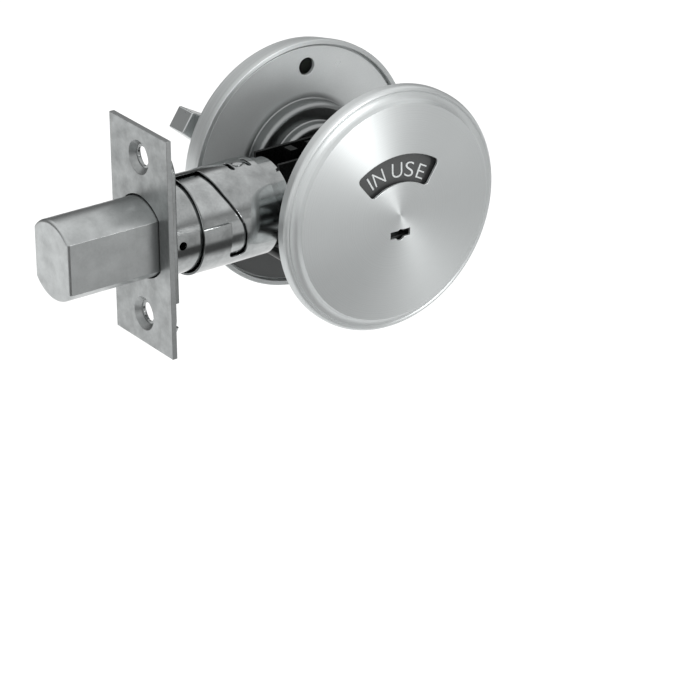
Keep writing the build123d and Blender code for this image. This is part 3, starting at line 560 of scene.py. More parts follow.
def window_outline():
    """The curved window's outline in (x, z), about the spindle, with rounded corners."""
    half = WINDOW_HALF_DEG
    corner = WINDOW_CORNER_R
    out_half = half - degrees(asin(corner / (WINDOW_OUT_R - corner)))
    in_half = half - degrees(asin(corner / (WINDOW_IN_R + corner)))
    long_steps = 4 * CURVE_STEPS

    def centre(radius, angle):
        return radius * cos(radians(angle)), radius * sin(radians(angle))

    outline = arc((0, 0), WINDOW_OUT_R, 90 - out_half, 90 + out_half, long_steps)
    outline += arc(centre(WINDOW_OUT_R - corner, 90 + out_half), corner, 90 + out_half, 180 + half)[1:]
    outline += arc(centre(WINDOW_IN_R + corner, 90 + in_half), corner, 180 + half, 270 + in_half)
    outline += arc((0, 0), WINDOW_IN_R, 90 + in_half, 90 - in_half, long_steps)[1:]
    outline += arc(centre(WINDOW_IN_R + corner, 90 - in_half), corner, 270 - in_half, 360 - half)[1:]
    outline += arc(centre(WINDOW_OUT_R - corner, 90 - out_half), corner, 360 - half, 450 - out_half)[:-1]
    return outline


def key_outline():
    """The emergency slot's outline in (x, z): a bar crossed by a round."""
    half_w, half_h = KEY_SLOT[0] / 2, KEY_SLOT[1] / 2
    top = degrees(asin((half_h + KEY_ROUND_DROP) / KEY_ROUND_R))
    low = degrees(asin((KEY_ROUND_DROP - half_h) / KEY_ROUND_R))
    centre = (0, -KEY_ROUND_DROP)
    outline = [(half_w, half_h)] + arc(centre, KEY_ROUND_R, top, 180 - top)
    outline += [(-half_w, half_h), (-half_w, -half_h)]
    outline += arc(centre, KEY_ROUND_R, 180 - low, 360 + low, 2 * CURVE_STEPS)
    return outline + [(half_w, -half_h)]


def rolled_edge(name, points, radius):
    """A thin round edge along a closed chain of points."""
    edge = drawn(name, points + points[:1])
    close_up(edge)
    pick(edge)
    bpy.ops.object.convert(target="CURVE")
    edge.data.bevel_depth = radius
    edge.data.bevel_resolution = 4
    bpy.ops.object.convert(target="MESH")
    return edge


def indicator_plate():
    """The pressed plate: bead, groove, cove and domed face, its openings with rolled edges."""
    bead_y = OUTSIDE_Y - PLATE_WALL
    bead_r = PLATE_R - PLATE_BEAD_R
    rim_y = bead_y - PLATE_BEAD_R
    face_y = rim_y - PLATE_COVE_RISE
    apex_y = face_y - PLATE_FACE_RISE
    foot = PLATE_EDGE_R
    outline = [(PLATE_R - PLATE_RIM_SHEET, OUTSIDE_Y)]
    outline += arc((PLATE_R - foot, OUTSIDE_Y - foot), foot, 90, 0, 4)
    outline += arc((bead_r, bead_y), PLATE_BEAD_R, 0, PLATE_BEAD_END_DEG, 2 * CURVE_STEPS)
    outline += [(PLATE_GROOVE_R, rim_y + PLATE_GROOVE_DEPTH)]
    cove = arc((PLATE_COVE_R, face_y), PLATE_COVE_R - PLATE_FACE_R, 90, 180, 2 * CURVE_STEPS,
               PLATE_COVE_RISE / (PLATE_COVE_R - PLATE_FACE_R))
    outline += cove[:-PLATE_COVE_LEFT_OUT]
    lip = (PLATE_FACE_R - PLATE_EDGE_R, face_y + PLATE_EDGE_R)
    outline += arc(lip, PLATE_EDGE_R, *PLATE_LIP_DEG, steps=3)
    face_r = PLATE_FACE_R - 2 * PLATE_EDGE_R
    front = dome(face_r, face_y - PLATE_FACE_STEP, apex_y)[1:-1]
    rear = dome(PLATE_FACE_R - PLATE_SHEET, face_y + PLATE_SHEET, apex_y + PLATE_SHEET)[-2::-1]
    outline += front + [(0, front[-1][1]), (0, rear[0][1])] + rear
    outline += [(PLATE_R - PLATE_RIM_SHEET, rim_y + PLATE_SHEET), (PLATE_R - PLATE_RIM_SHEET, OUTSIDE_Y)]
    plate = turned("indicator_plate_pressed", outline, "Y", TRIM_Z)
    open_centre(plate, TRIM_Z)
    deep = Vector((0, 2 * PLATE_SHEET + 3 * PAST, 0))
    sphere_r = (face_r ** 2 + PLATE_FACE_RISE ** 2) / (2 * PLATE_FACE_RISE)
    edges = []
    openings = (("window", window_outline(), WINDOW_ROLL_R), ("key", key_outline(), KEY_ROLL_R))
    for name, opening, roll in openings:
        spots = [Vector((x, apex_y - PAST, SPINDLE_Z + z)) for x, z in opening]
        carve(plate, [prism(name + "_cutter", spots, deep)])
        for spot in spots:
            off = sqrt(spot.x ** 2 + (spot.z - TRIM_Z) ** 2)
            spot.y = apex_y + sphere_r - sqrt(sphere_r ** 2 - off ** 2) + roll
        edges.append(rolled_edge(name + "_roll", spots, roll))
    deselect()
    for piece in edges + [plate]:
        piece.select_set(True)
    bpy.context.view_layer.objects.active = plate
    bpy.ops.object.join()
    smooth(plate)
    dress(plate, satin, "lock_frame", "satin_chrome", "indicator_plate")


indicator_plate()


# Legends

def letter(name, text, degrees_up):
    """One raised letter on the dial, its top away from the spindle, at an angle from +X."""
    deselect()
    bpy.ops.object.text_add()
    piece = bpy.context.object
    piece.name = name
    piece.data.body = text
    piece.data.align_x = "CENTER"
    piece.data.align_y = "CENTER"
    piece.data.size = LETTER_HEIGHT / CAPITAL_SHARE
    piece.data.extrude = LETTER_RISE
    piece.data.offset = -LETTER_THIN
    bpy.ops.object.convert(target="MESH")
    widen = Matrix.Diagonal((LETTER_WIDEN.get(text, LETTER_WIDEN_OTHERS), 1, 1, 1))
    upright = Matrix.Rotation(radians(90), 4, "X")
    turn = Matrix.Rotation(radians(90 - degrees_up), 4, "Y")
    lean = Matrix.Rotation(-asin(LETTER_RADIUS / DOME_SPHERE_R), 4, "X")
    out = Vector((cos(radians(degrees_up)), 0, sin(radians(degrees_up)))) * LETTER_RADIUS
    face_y = dial_low.y - LETTER_RISE + DOME_SPHERE_R - sqrt(DOME_SPHERE_R ** 2 - LETTER_RADIUS ** 2)
    spot = Matrix.Translation((out.x, face_y, SPINDLE_Z + out.z))
    piece.matrix_world = spot @ turn @ lean @ upright @ widen
    settle(piece)
    dress(piece, legend_paint, "turn", "dark_dial")


for legend, (text, angles) in LEGENDS.items():
    for number, (character, angle) in enumerate(zip(text, angles)):
        letter(f"legend_{legend}_{number}", character, angle)


# Faceplate and bolt

def bolt_outline(round_r, half_flats, steps=6 * CURVE_STEPS):
    """The bolt's section in (y, z): round above and below, flat at the sides."""
    reach = degrees(asin(half_flats / round_r))
    over = arc((0, 0), round_r, 90 - reach, 90 + reach, steps)
    return over + arc((0, 0), round_r, 270 - reach, 270 + reach, steps)


def faceplate():
    """The plate in the door's edge, with the bolt's opening and two countersunk holes."""
    plate = block(face_low, face_high)
    plate.name = "faceplate_rounded"
    half_round = (bolt_high.z - bolt_low.z) / 2 + SLIDING_GAP
    half_flats = (bolt_high.y - bolt_low.y) / 2 + SLIDING_GAP
    through = Vector((face_high.x - face_low.x + 2 * PAST, 0, 0))
    section = [Vector((face_low.x - PAST, y, z)) for y, z in bolt_outline(half_round, half_flats)]
    cutters = [prism("bolt_opening", section, through)]
    slope = (COUNTERSINK_R - SCREW_HOLE_R) / COUNTERSINK_DEPTH
    for side in (-1, 1):
        z = side * FACE_SCREW_SPACING / 2
        cutters.append(cone(COUNTERSINK_R + slope * PAST, SCREW_HOLE_R, "X", face_low.x - PAST,
                            face_low.x + COUNTERSINK_DEPTH, (0, z)))
        cutters.append(rod(SCREW_HOLE_R, "X", face_low.x, face_high.x + PAST, (0, z)))
    carve(plate, cutters)
    soften(plate, EDGE_SOFT, sharper_than=40)
    smooth(plate)
    dress(plate, face_metal, "lock_frame", "satin_nickel_latch", "faceplate")


def bolt():
    """The thrown bolt, its nose well rounded and its long edges eased."""
    half_round = (bolt_high.z - bolt_low.z) / 2
    half_flats = (bolt_high.y - bolt_low.y) / 2
    length = Vector((bolt_high.x - bolt_low.x, 0, 0))
    section = [Vector((bolt_low.x, y, z)) for y, z in bolt_outline(half_round, half_flats)]
    piece = prism("bolt_rounded", section, length)
    pick(piece)
    bpy.ops.object.mode_set(mode="EDIT")
    bpy.ops.mesh.select_mode(type="EDGE")
    bpy.ops.mesh.select_all(action="DESELECT")
    bpy.ops.object.mode_set(mode="OBJECT")
    for edge in piece.data.edges:
        ends = [piece.data.vertices[v].co.x for v in edge.vertices]
        edge.select = max(ends) < bolt_low.x + NEAR
    bpy.ops.object.mode_set(mode="EDIT")
    bpy.ops.mesh.bevel(offset=BOLT_NOSE_R, segments=6, affect="EDGES", clamp_overlap=False)
    bpy.ops.object.mode_set(mode="OBJECT")
    tail_low, tail_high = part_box("bolt_tail")
    pin_low, pin_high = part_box("tail_pin")
    guard_low, guard_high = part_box("saw_guard_pin")
    play = PIN_PLAY
    socket = block((tail_low.x - play, tail_low.y - play, tail_low.z - play),
                   (bolt_high.x + PAST, tail_high.y + play, tail_low.z + BOLT_SOCKET_HEIGHT))
    guard = rod((guard_high.z - guard_low.z) / 2 + play, "X", guard_low.x - play, guard_high.x + 2 * PAST)
    pin_x = (pin_low.x + pin_high.x) / 2
    pin = rod((pin_high.x - pin_low.x) / 2 + play, "Y", bolt_low.y - PAST, bolt_high.y + PAST, (pin_x, 0))
    carve(piece, [socket, guard, pin])
    soften(piece, BOLT_EDGE_SOFT, segments=2)
    smooth(piece)
    dress(piece, latch, "bolt", "satin_nickel_latch", "bolt_head")


faceplate()
bolt()


# Tubes

# The sleeve's helical window: angles round the tube from +Y over the top, and distances from its front
HELIX_TOP_DEG = 85.0
HELIX_TONGUE_DEG = 166.0
HELIX_FOOT_DEG = 172.0
HELIX_LAST_DEG = 215.0
HELIX_LEFT = 8.1 * MM
HELIX_EDGE = ((85.0, 7.1 * MM), (106.0, 7.4 * MM), (129.0, 8.15 * MM), (145.0, 9.35 * MM), (161.0, 10.8 * MM),
              (172.0, 11.9 * MM))
HELIX_FOOT_EDGE = ((172.0, 11.9 * MM), (185.0, 12.5 * MM), (202.0, 12.85 * MM))
HELIX_CORNER_R = 1.6 * MM

# Lances on top, with a dimple between them
LANCE_LENGTH = 4.3 * MM
LANCE_WIDTH = 1.2 * MM
LANCE_PITCH = 4.8 * MM
LANCE_SETBACK = 4.5 * MM
LANCE_DEG = 94.0
DIMPLE_SIZE = (1.5 * MM, 1.3 * MM, 0.45 * MM)

# Sheet, and the collar's flared lip
TUBE_SHEET = 0.5 * MM
LIP_SHEET = 0.25 * MM
LIP_DEPTH = 2.5 * MM
LIP_FLARE = 0.5 * MM
LIP_FLARE_LENGTH = 0.8 * MM
COLLAR_PLAY = 0.25 * MM
SLEEVE_SHEET = 0.45 * MM
SLEEVE_EDGE_R = 0.1 * MM


def turned_ring(name, in_r, out_r, start, end, edge_r):
    """A tube about the bolt's axis whose outer edges are rounded."""
    outline = [(in_r, start)]
    outline += arc((out_r - edge_r, start + edge_r), edge_r, -90, 0, 4)
    outline += arc((out_r - edge_r, end - edge_r), edge_r, 0, 90, 4)
    outline += [(in_r, end), (in_r, start)]
    return turned(name, outline, "X")


def on_tube(angle, x, across, reach):
    """A point outside the tube: along X, across a flat that faces out at an angle, and off its axis."""
    a = radians(angle)
    return Vector((x, cos(a) * reach + sin(a) * across, sin(a) * reach - cos(a) * across))


def eased(knots, steps=CURVE_STEPS):
    """A smooth run of points through a list of knots."""
    ends = [knots[0], *knots, knots[-1]]
    run = [knots[0]]
    for a, b, c, d in zip(ends, ends[1:], ends[2:], ends[3:]):
        for k in range(1, steps + 1):
            t = k / steps
            run.append(tuple(
                b[i] + t * ((c[i] - a[i]) / 2 + t * (a[i] - 2.5 * b[i] + 2 * c[i] - d[i] / 2
                                                     + t * (1.5 * (b[i] - c[i]) + (d[i] - a[i]) / 2)))
                for i in range(2)))
    return run


def lance_cutters(tube_r):
    """The two round-ended slots on top of the tubes."""
    cutters = []
    half_w, half_l = LANCE_WIDTH / 2, LANCE_LENGTH / 2 - LANCE_WIDTH / 2
    for side in (-1, 1):
        x = sleeve_high.x - LANCE_SETBACK + side * LANCE_PITCH / 2
        slot = arc((x, half_l), half_w, 0, 180) + arc((x, -half_l), half_w, 180, 360)
        cutters.append(prism("lance_cutter", [on_tube(LANCE_DEG, px, py, 0) for px, py in slot],
                             on_tube(LANCE_DEG, 0, 0, tube_r + PAST)))
    return cutters


def adjusting_collar():
    """The collar between the tube and the sleeve, its front lip rolled."""
    out_r = (collar_high.z - collar_low.z) / 2 - COLLAR_PLAY
    in_r, start, end = out_r - TUBE_SHEET, collar_low.x, collar_high.x
    lip_r, r = out_r - LIP_SHEET, LIP_SHEET / 2
    outline = [(in_r, start + LIP_DEPTH), (lip_r, start + LIP_DEPTH), (lip_r, start + LIP_FLARE_LENGTH)]
    outline += arc((lip_r + r + LIP_FLARE, start + r), r, -180, 0, 6)
    outline += [(out_r, start + LIP_FLARE_LENGTH), (out_r, end), (in_r, end), (in_r, start + LIP_DEPTH)]
    ring = turned("adjusting_collar_rolled", outline, "X")
    carve(ring, lance_cutters(out_r))
    smooth(ring)
    dress(ring, collar_metal, "lock_frame", "satin_nickel_latch", "adjusting_collar")


def outer_sleeve():
    """The sleeve with its helical adjusting window, the two lanced slots and the dimple between them."""
    out_r = (sleeve_high.z - sleeve_low.z) / 2
    front = sleeve_low.x
    sleeve = turned_ring("outer_sleeve_cut", out_r - SLEEVE_SHEET, out_r, front, sleeve_high.x,
                         SLEEVE_EDGE_R)
    middle_deg = (HELIX_TOP_DEG + HELIX_FOOT_DEG) / 2
    last_deg = (HELIX_FOOT_DEG + HELIX_LAST_DEG) / 2
    left = front + HELIX_LEFT

    def flat(angle, x, facing):
        return x, -out_r * sin(radians(angle - facing))

    outline = [flat(HELIX_TONGUE_DEG, front - PAST, middle_deg),
               flat(HELIX_TOP_DEG, front - PAST, middle_deg)]
    outline += [flat(angle, front + x, middle_deg) for angle, x in eased(HELIX_EDGE)]
    outline += [flat(HELIX_FOOT_DEG, left, middle_deg), flat(HELIX_TONGUE_DEG, left, middle_deg)]
    window = prism("helix_cutter", [on_tube(middle_deg, x, y, 0) for x, y in outline],
                   on_tube(middle_deg, 0, 0, out_r + PAST))
    foot = [flat(angle, front + x, last_deg) for angle, x in eased(HELIX_FOOT_EDGE)]
    r = HELIX_CORNER_R
    right, low = foot[-1][0], flat(HELIX_LAST_DEG, 0, last_deg)[1]
    foot += arc((right - r, low + r), r, 360, 270) + arc((left + r, low + r), r, 270, 180)
    foot += [flat(HELIX_FOOT_DEG, left, last_deg)]
    foot[0] = (foot[0][0], foot[0][1] + OVERLAP)
    foot[-1] = (foot[-1][0], foot[-1][1] + OVERLAP)
    last = prism("helix_foot_cutter", [on_tube(last_deg, x, y, 0) for x, y in foot],
                 on_tube(last_deg, 0, 0, out_r + PAST))
    deselect()
    bpy.ops.mesh.primitive_uv_sphere_add(segments=48, ring_count=24, radius=1.0, scale=DIMPLE_SIZE,
                                         location=on_tube(LANCE_DEG, sleeve_high.x - LANCE_SETBACK, 0, out_r))
    dimple = bpy.context.object
    settle(dimple)
    carve(sleeve, [dimple], "UNION")
    carve(sleeve, [window, last] + lance_cutters(out_r))
    soften(sleeve, EDGE_SOFT, sharper_than=40)
    smooth(sleeve)
    dress(sleeve, tubes, "lock_frame", "satin_nickel_latch", "outer_sleeve")


adjusting_collar()
outer_sleeve()


# Inside trim

ROSE_EDGE_R = 0.2 * MM
ROSE_SKIRT = 1.4 * MM
ROSE_SHOULDER_R = 31.9 * MM
ROSE_WALL = 6.4 * MM
ROSE_CREASE_R = 0.9 * MM
ROSE_CREASE_DEG = (10, 84)
ROSE_DOME_RISE = 4.5 * MM
ROSE_SHEET = 1.2 * MM
ROSE_HOLLOW_R = 30.6 * MM
ROSE_LEDGE = 1.9 * MM
HUB_OPENING_R = 8.3 * MM
SCREW_HEAD_R = 3.9 * MM
SCREW_RECESS = 0.85 * MM
SCREW_CONE = 1.9 * MM
SCREW_CONE_OVERLAP = 0.01 * MM
SCREW_R = 2.0 * MM
SCREW_GAP = 0.2 * MM
SCREW_COLUMN_WALL = 1.1 * MM
SCREW_CIRCLE_R = 24.2 * MM
SCREW_DEG = 30.0
SPARE_HOLE_R = 2.3 * MM
SPARE_HOLE_CIRCLE_R = 25.9 * MM
SPARE_HOLE_DEG = 85.7
BOSS_STEP_R = 17.2 * MM
BOSS_STEP = 4.0 * MM
BOSS_SHELF = 4.7 * MM
BOSS_NOSE = 3.0 * MM
BOSS_FILLET = 1.4 * MM
BOSS_ROOT_R = 0.5 * MM
BACK_SHEET = 1.1 * MM
BACK_EDGE_R = 0.25 * MM
SHAFT_BORE_R = 4.95 * MM


def screw_places():
    """The (x, z) places of the two mounting screws."""
    x, z = SCREW_CIRCLE_R * cos(radians(SCREW_DEG)), TRIM_Z - SCREW_CIRCLE_R * sin(radians(SCREW_DEG))
    return [(-x, z), (x, z)]


def inside_rose():
    """The domed rose with its rim, ledge, screw columns and hub opening."""
    edge = ROSE_EDGE_R
    wall_y = INSIDE_Y + ROSE_WALL
    dome_y = wall_y + ROSE_CREASE_R
    apex_y = dome_y + ROSE_DOME_RISE
    rim_in_r = ROSE_R - ROSE_SHEET
    dome_r = ROSE_SHOULDER_R - ROSE_CREASE_R
    outline = [(rim_in_r, INSIDE_Y)]
    outline += arc((ROSE_R - edge, INSIDE_Y + edge), edge, -90, 0, 4)
    outline += [(ROSE_R, INSIDE_Y + ROSE_SKIRT - edge), (ROSE_R - edge / 3, INSIDE_Y + ROSE_SKIRT + edge)]
    outline += arc((dome_r, wall_y), ROSE_CREASE_R, *ROSE_CREASE_DEG)
    outline += dome(dome_r, dome_y, apex_y)[1:]
    outline += dome(ROSE_HOLLOW_R, dome_y - ROSE_SHEET, apex_y - ROSE_SHEET)[::-1]
    ledge_y = INSIDE_Y + ROSE_LEDGE
    outline += [(ROSE_HOLLOW_R, ledge_y), (rim_in_r, ledge_y), (rim_in_r, INSIDE_Y)]
    rose = turned("inside_rose_pressed", outline, "Y", TRIM_Z)
    sphere_r = (dome_r ** 2 + ROSE_DOME_RISE ** 2) / (2 * ROSE_DOME_RISE)
    seat = apex_y - (sphere_r - sqrt(sphere_r ** 2 - SCREW_CIRCLE_R ** 2)) - SCREW_RECESS
    head_r, shank_r = SCREW_HEAD_R + SCREW_GAP, SCREW_R + SCREW_GAP
    columns = [rod(head_r + SCREW_COLUMN_WALL, "Y", ledge_y, seat - OVERLAP, place)
               for place in screw_places()]
    carve(rose, columns, "UNION")
    cutters = []
    for place in screw_places():
        cutters.append(rod(head_r, "Y", seat, apex_y + PAST, place))
        cutters.append(cone(shank_r, head_r, "Y", seat - SCREW_CONE, seat + SCREW_CONE_OVERLAP, place))
        cutters.append(rod(shank_r, "Y", INSIDE_Y, apex_y, place))
    cutters.append(rod(HUB_OPENING_R, "Y", INSIDE_Y, apex_y + PAST, (0, SPINDLE_Z)))
    carve(rose, cutters)
    soften(rose, EDGE_SOFT, sharper_than=50)
    smooth(rose)
    dress(rose, satin, "lock_frame", "satin_chrome", "inside_rose")


def inside_back_plate():
    """The polished plate with its stepped boss, a large soft fillet at each step."""
    face = back_high.y - BACK_SHEET
    step, nose = face - BOSS_STEP, face - BOSS_STEP - BOSS_NOSE
    plate_r = (back_high.x - back_low.x) / 2
    nose_r = BOSS_STEP_R - BOSS_SHELF
    t, f, edge, root = BACK_SHEET, BOSS_FILLET, BACK_EDGE_R, BOSS_ROOT_R
    outline = [(plate_r, back_high.y)]
    outline += arc((plate_r - edge, face + edge), edge, 0, -90, 4)
    outline += arc((BOSS_STEP_R + root, face - root), root, 90, 180, 5)
    outline += arc((BOSS_STEP_R - f, step + f), f, 0, -90)
    outline += arc((nose_r + root, step - root), root, 90, 180, 5)
    outline += arc((nose_r - f, nose + f), f, 0, -90)
    outline += [(0, nose), (0, nose + t), (nose_r - t, nose + t), (nose_r - t, step + t)]
    outline += [(BOSS_STEP_R - t, step + t), (BOSS_STEP_R - t, back_high.y), (plate_r, back_high.y)]
    plate = turned("inside_back_plate_pressed", outline, "Y", TRIM_Z)
    x = SPARE_HOLE_CIRCLE_R * cos(radians(SPARE_HOLE_DEG))
    z = TRIM_Z + SPARE_HOLE_CIRCLE_R * sin(radians(SPARE_HOLE_DEG))
    cutters = [rod(SHAFT_BORE_R, "Y", nose - PAST, nose + t + PAST, (0, SPINDLE_Z)),
               rod(SPARE_HOLE_R, "Y", face - PAST, back_high.y + PAST, (x, z))]
    cutters += [rod(SCREW_R + SCREW_GAP, "Y", face - PAST, back_high.y + PAST, place)
                for place in screw_places()]
    carve(plate, cutters)
    soften(plate, BACK_EDGE_SOFT, sharper_than=50)
    smooth(plate)
    dress(plate, polished, "lock_frame", "polished_steel", "inside_back_plate")


inside_rose()
inside_back_plate()


# Thumbturn

LEVER_REST_DEG = 34.5
LEVER_LONG = 31.6 * MM
LEVER_SHORT = 21.0 * MM
LEVER_MIDDLE = 12.4 * MM
LEVER_TIP = 6.0 * MM
LEVER_THICKNESS = 7.7 * MM
LEVER_TIP_THICKNESS = 6.4 * MM
LEVER_MIDDLE_R = 5.0 * MM
LEVER_EDGE_R = 0.4 * MM
HUB_R = 7.2 * MM
HUB_GAP = 0.35 * MM
NECK_R = 6.0 * MM
SHAFT_R = 4.9 * MM
CLIP_GROOVE = 0.8 * MM
CLIP_THICKNESS = 0.8 * MM
WASHER = 0.35 * MM


def lever():
    """The boat-shaped lever, flat in front, thinner towards its two ends."""
    front = turn_high.y
    half_mid, half_tip, r = LEVER_MIDDLE / 2, LEVER_TIP / 2, LEVER_MIDDLE_R
    low = front - LEVER_THICKNESS
    slopes = (atan2(half_mid - half_tip, LEVER_LONG), atan2(half_mid - half_tip, LEVER_SHORT))
    reach = r * (sin(slopes[0] + slopes[1]) / (1 + cos(slopes[0] + slopes[1])))
    right = (reach * cos(slopes[0]), half_mid - reach * sin(slopes[0]))
    centre = (right[0] - r * sin(slopes[0]), right[1] - r * cos(slopes[0]))
    bend = arc(centre, r, 90 - degrees(slopes[0]), 90 + degrees(slopes[1]), CURVE_STEPS)
    plan = [(LEVER_LONG, half_tip)] + bend + [(-LEVER_SHORT, half_tip), (-LEVER_SHORT, -half_tip)]
    plan += [(x, -z) for x, z in bend[::-1]] + [(LEVER_LONG, -half_tip)]
    piece = prism("thumbturn_rounded", [Vector((x, front, z)) for x, z in plan],
                  Vector((0, -LEVER_THICKNESS, 0)))
    under = LEVER_THICKNESS - LEVER_TIP_THICKNESS
    wedges = []
    for end in (LEVER_LONG + PAST, -LEVER_SHORT - PAST):
        flat = HUB_R if end > 0 else -HUB_R
        wedge = [(flat, low), (end, low + under), (end, low - PAST), (flat, low - PAST)]
        wedges.append(prism("wedge", [Vector((x, y, -LEVER_MIDDLE)) for x, y in wedge],
                            Vector((0, 0, 2 * LEVER_MIDDLE))))
    carve(piece, wedges)
    soften(piece, LEVER_EDGE_R, segments=4, sharper_than=20)
    turn = Matrix.Translation((0, 0, SPINDLE_Z)) @ Matrix.Rotation(radians(180 + LEVER_REST_DEG), 4, "Y")
    piece.matrix_world = turn
    settle(piece)
    return piece


def thumbturn():
    """The lever on its hub, with the neck and the grooved shaft that run in the boss."""
    piece = lever()
    front = turn_high.y
    start = turn_low.y
    nose = back_low.y
    groove = nose - WASHER - CLIP_THICKNESS
    shoulder = nose + BACK_SHEET + WASHER
    hub_start = back_high.y + HUB_GAP
    hub_end = front - LEVER_THICKNESS / 2
    outline = [(0, start), (SHAFT_R, start), (SHAFT_R, groove), (SHAFT_R - CLIP_GROOVE, groove),
               (SHAFT_R - CLIP_GROOVE, nose - WASHER), (SHAFT_R, nose - WASHER), (SHAFT_R, shoulder),
               (NECK_R, shoulder), (NECK_R, hub_start), (HUB_R, hub_start), (HUB_R, hub_end), (0, hub_end)]
    carve(piece, [turned("hub", outline, "Y", SPINDLE_Z)], "UNION")
    blade_low, blade_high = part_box("spindle")
    pin_low, pin_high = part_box("cross_pin")
    play = PIN_PLAY
    slot = block((blade_low.x - play, start - PAST, blade_low.z - play),
                 (blade_high.x + play, blade_high.y + play, blade_high.z + play))
    pin_r = (pin_high.z - pin_low.z) / 2 + play
    hole = rod(pin_r, "X", -2 * HUB_R, 2 * HUB_R, ((pin_low.y + pin_high.y) / 2, SPINDLE_Z))
    carve(piece, [slot, hole])
    smooth(piece)
    dress(piece, lever_satin, "turn", "satin_chrome", "thumbturn")


thumbturn()


# Stage, lights and camera

# In the metal the floor shows a dark band in front of the lock, and is a little darker past it
SHADE_NEAR_Y = (-0.10, -0.05)
SHADE_FAR_Y = (-0.24, -0.18)
SHADE_LEFT_X = (-0.14, -0.04)
SHADE_TONE = 0.10
FLOOR_FRONT = 0.55
FLOOR_TONE = 0.9
FLOOR_ROUGHNESS = 0.9
FLOOR_GLOW = 0.85
FLOOR_MATT = 0.3
FLOOR_R = 1.1
FLOOR_DROP = 0.10

# The room that the metal sees, by how far a direction leans up, left and back
ROOM_LOWEST, ROOM_HIGHEST = 0.8, 1.0
ROOM_TONES = ((0.48, 0.7), (0.52, 0.3), (0.66, 0.3), (0.76, 0.95))
ROOM_LEFT = (-0.25, -0.05, 0.85, 0.0)
ROOM_BACK = (0.1, 0.5, 1.0, 0.35)
ROOM_ABOVE = (0.4, 0.6, 0.0, 1.0)

LAMP_AIM = (-0.03, 0, 0)


def direction(azimuth, elevation):
    """The way back from the lock to a camera or a lamp."""
    a, e = radians(azimuth), radians(elevation)
    return Vector((sin(a) * cos(e), -cos(a) * cos(e), sin(e)))


def pale_floor():
    """A pale floor, white to the camera and shaded in the metal, that keeps the object's shadow."""
    f = Finish("pale_floor")
    f.set("Base Color", (FLOOR_TONE, FLOOR_TONE, FLOOR_TONE, 1))
    f.set("Roughness", FLOOR_ROUGHNESS)
    rays = f.node("ShaderNodeLightPath").outputs
    seen = f.maths("MAXIMUM", rays["Is Camera Ray"],
                   f.maths("MAXIMUM", rays["Is Glossy Ray"], rays["Is Transmission Ray"]))
    along, depth = f.node("ShaderNodeSeparateXYZ", i0=f.place).outputs[:2]
    near = f.ramp(depth, *SHADE_NEAR_Y, SHADE_TONE, 1.0)
    far = f.ramp(depth, *SHADE_FAR_Y, FLOOR_FRONT, SHADE_TONE)
    side = f.maths("MAXIMUM", f.ramp(along, *SHADE_LEFT_X, SHADE_TONE, 1.0), near)
    front = f.maths("MINIMUM", side, f.maths("MAXIMUM", near, far))
    share = f.maths("MAXIMUM", front, rays["Is Camera Ray"])
    glow = f.node("ShaderNodeEmission", Color=(1, 1, 1, 1), Strength=f.maths("MULTIPLY", share, FLOOR_GLOW))
    part = f.maths("MULTIPLY", share, FLOOR_MATT)
    tone = f.node("ShaderNodeCombineColor", i0=part, i1=part, i2=part)
    matt = f.node("ShaderNodeBsdfDiffuse", Color=tone.outputs[0])
    white = f.node("ShaderNodeAddShader", i0=glow.outputs[0], i1=matt.outputs[0])
    mixed = f.node("ShaderNodeMixShader", i0=seen, i1=f.shader.outputs[0], i2=white.outputs[0])
    f.tree.links.new(mixed.outputs[0], f.output.inputs["Surface"])
    return f.material


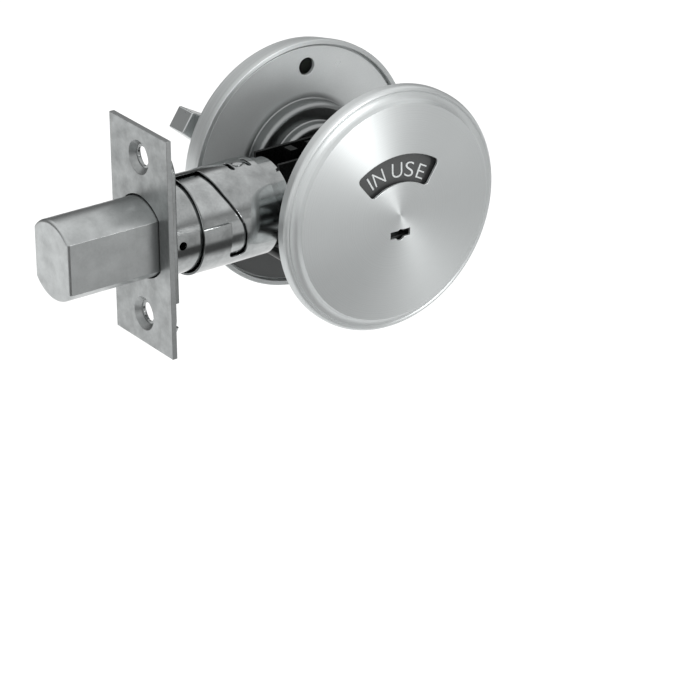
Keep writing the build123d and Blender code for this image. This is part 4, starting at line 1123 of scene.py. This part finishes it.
def studio_world():
    """A world that is white to the camera and through glass, and a graded room to metal and light."""
    world = bpy.data.worlds.new("studio")
    world.use_nodes = True
    w = Nodes(world.node_tree, "Generated")
    along, depth, height = w.node("ShaderNodeSeparateXYZ", i0=w.place).outputs
    walls = w.node("ShaderNodeValToRGB", i0=w.ramp(height, -1.0, 1.0, 0.0, 1.0))
    stops = walls.color_ramp.elements
    for place, tone in ROOM_TONES:
        stops.new(place).color = (tone, tone, tone, 1)
    stops[0].color = (ROOM_LOWEST, ROOM_LOWEST, ROOM_LOWEST, 1)
    stops[-1].color = (ROOM_HIGHEST, ROOM_HIGHEST, ROOM_HIGHEST, 1)
    wall = w.maths("MAXIMUM", walls.outputs[0], w.ramp(along, *ROOM_LEFT))
    share = w.maths("MAXIMUM", w.ramp(depth, *ROOM_BACK), w.ramp(height, *ROOM_ABOVE))
    room = w.node("ShaderNodeBackground", Color=w.maths("MULTIPLY", wall, share))
    white = w.node("ShaderNodeBackground", Color=(1, 1, 1, 1))
    rays = w.node("ShaderNodeLightPath").outputs
    seen = w.maths("MAXIMUM", rays["Is Camera Ray"], rays["Is Transmission Ray"])
    mixed = w.node("ShaderNodeMixShader", i0=seen, i1=room.outputs[0], i2=white.outputs[0])
    w.node("ShaderNodeOutputWorld", i0=mixed.outputs[0])
    return world


def soft_box(name, azimuth, elevation, distance, size, radiance):
    """A square soft light box that faces the lock from a direction, as bright as its radiance."""
    deselect()
    bpy.ops.object.light_add(type="AREA")
    lamp = bpy.context.object
    lamp.name = name
    back = direction(azimuth, elevation)
    lamp.location = Vector(LAMP_AIM) + back * distance
    lamp.rotation_mode = "QUATERNION"
    lamp.rotation_quaternion = back.to_track_quat("Z", "Y")
    lamp.data.shape = "RECTANGLE"
    lamp.data.size = size
    lamp.data.size_y = size
    lamp.data.energy = radiance * pi * size * size


deselect()
bpy.ops.mesh.primitive_circle_add(vertices=96, radius=FLOOR_R, fill_type="NGON",
                                  location=(0, 0, cad_box[0].z - FLOOR_DROP))
floor = bpy.context.object
floor.name = "floor"
floor.data.materials.append(pale_floor())

bpy.context.scene.world = studio_world()

soft_box("fan_light", azimuth=17, elevation=10, distance=1.2, size=0.3, radiance=15.0)

bpy.ops.object.camera_add()
camera = bpy.context.object
back = direction(VIEW_AZIMUTH, VIEW_ELEVATION)
level = (-back).to_track_quat("-Z", "Y")
camera.rotation_mode = "QUATERNION"
camera.rotation_quaternion = level @ Matrix.Rotation(radians(VIEW_ROLL), 4, "Z").to_quaternion()
camera.location = Vector(VIEW_AIM) + back * VIEW_DISTANCE
camera.data.sensor_width = SENSOR
camera.data.lens = FOCAL_PIXELS * SENSOR / FRAME_PIXELS
camera.data.clip_start, camera.data.clip_end = 0.05, 20
bpy.context.scene.camera = camera
bpy.context.scene.view_settings.view_transform = "Standard"
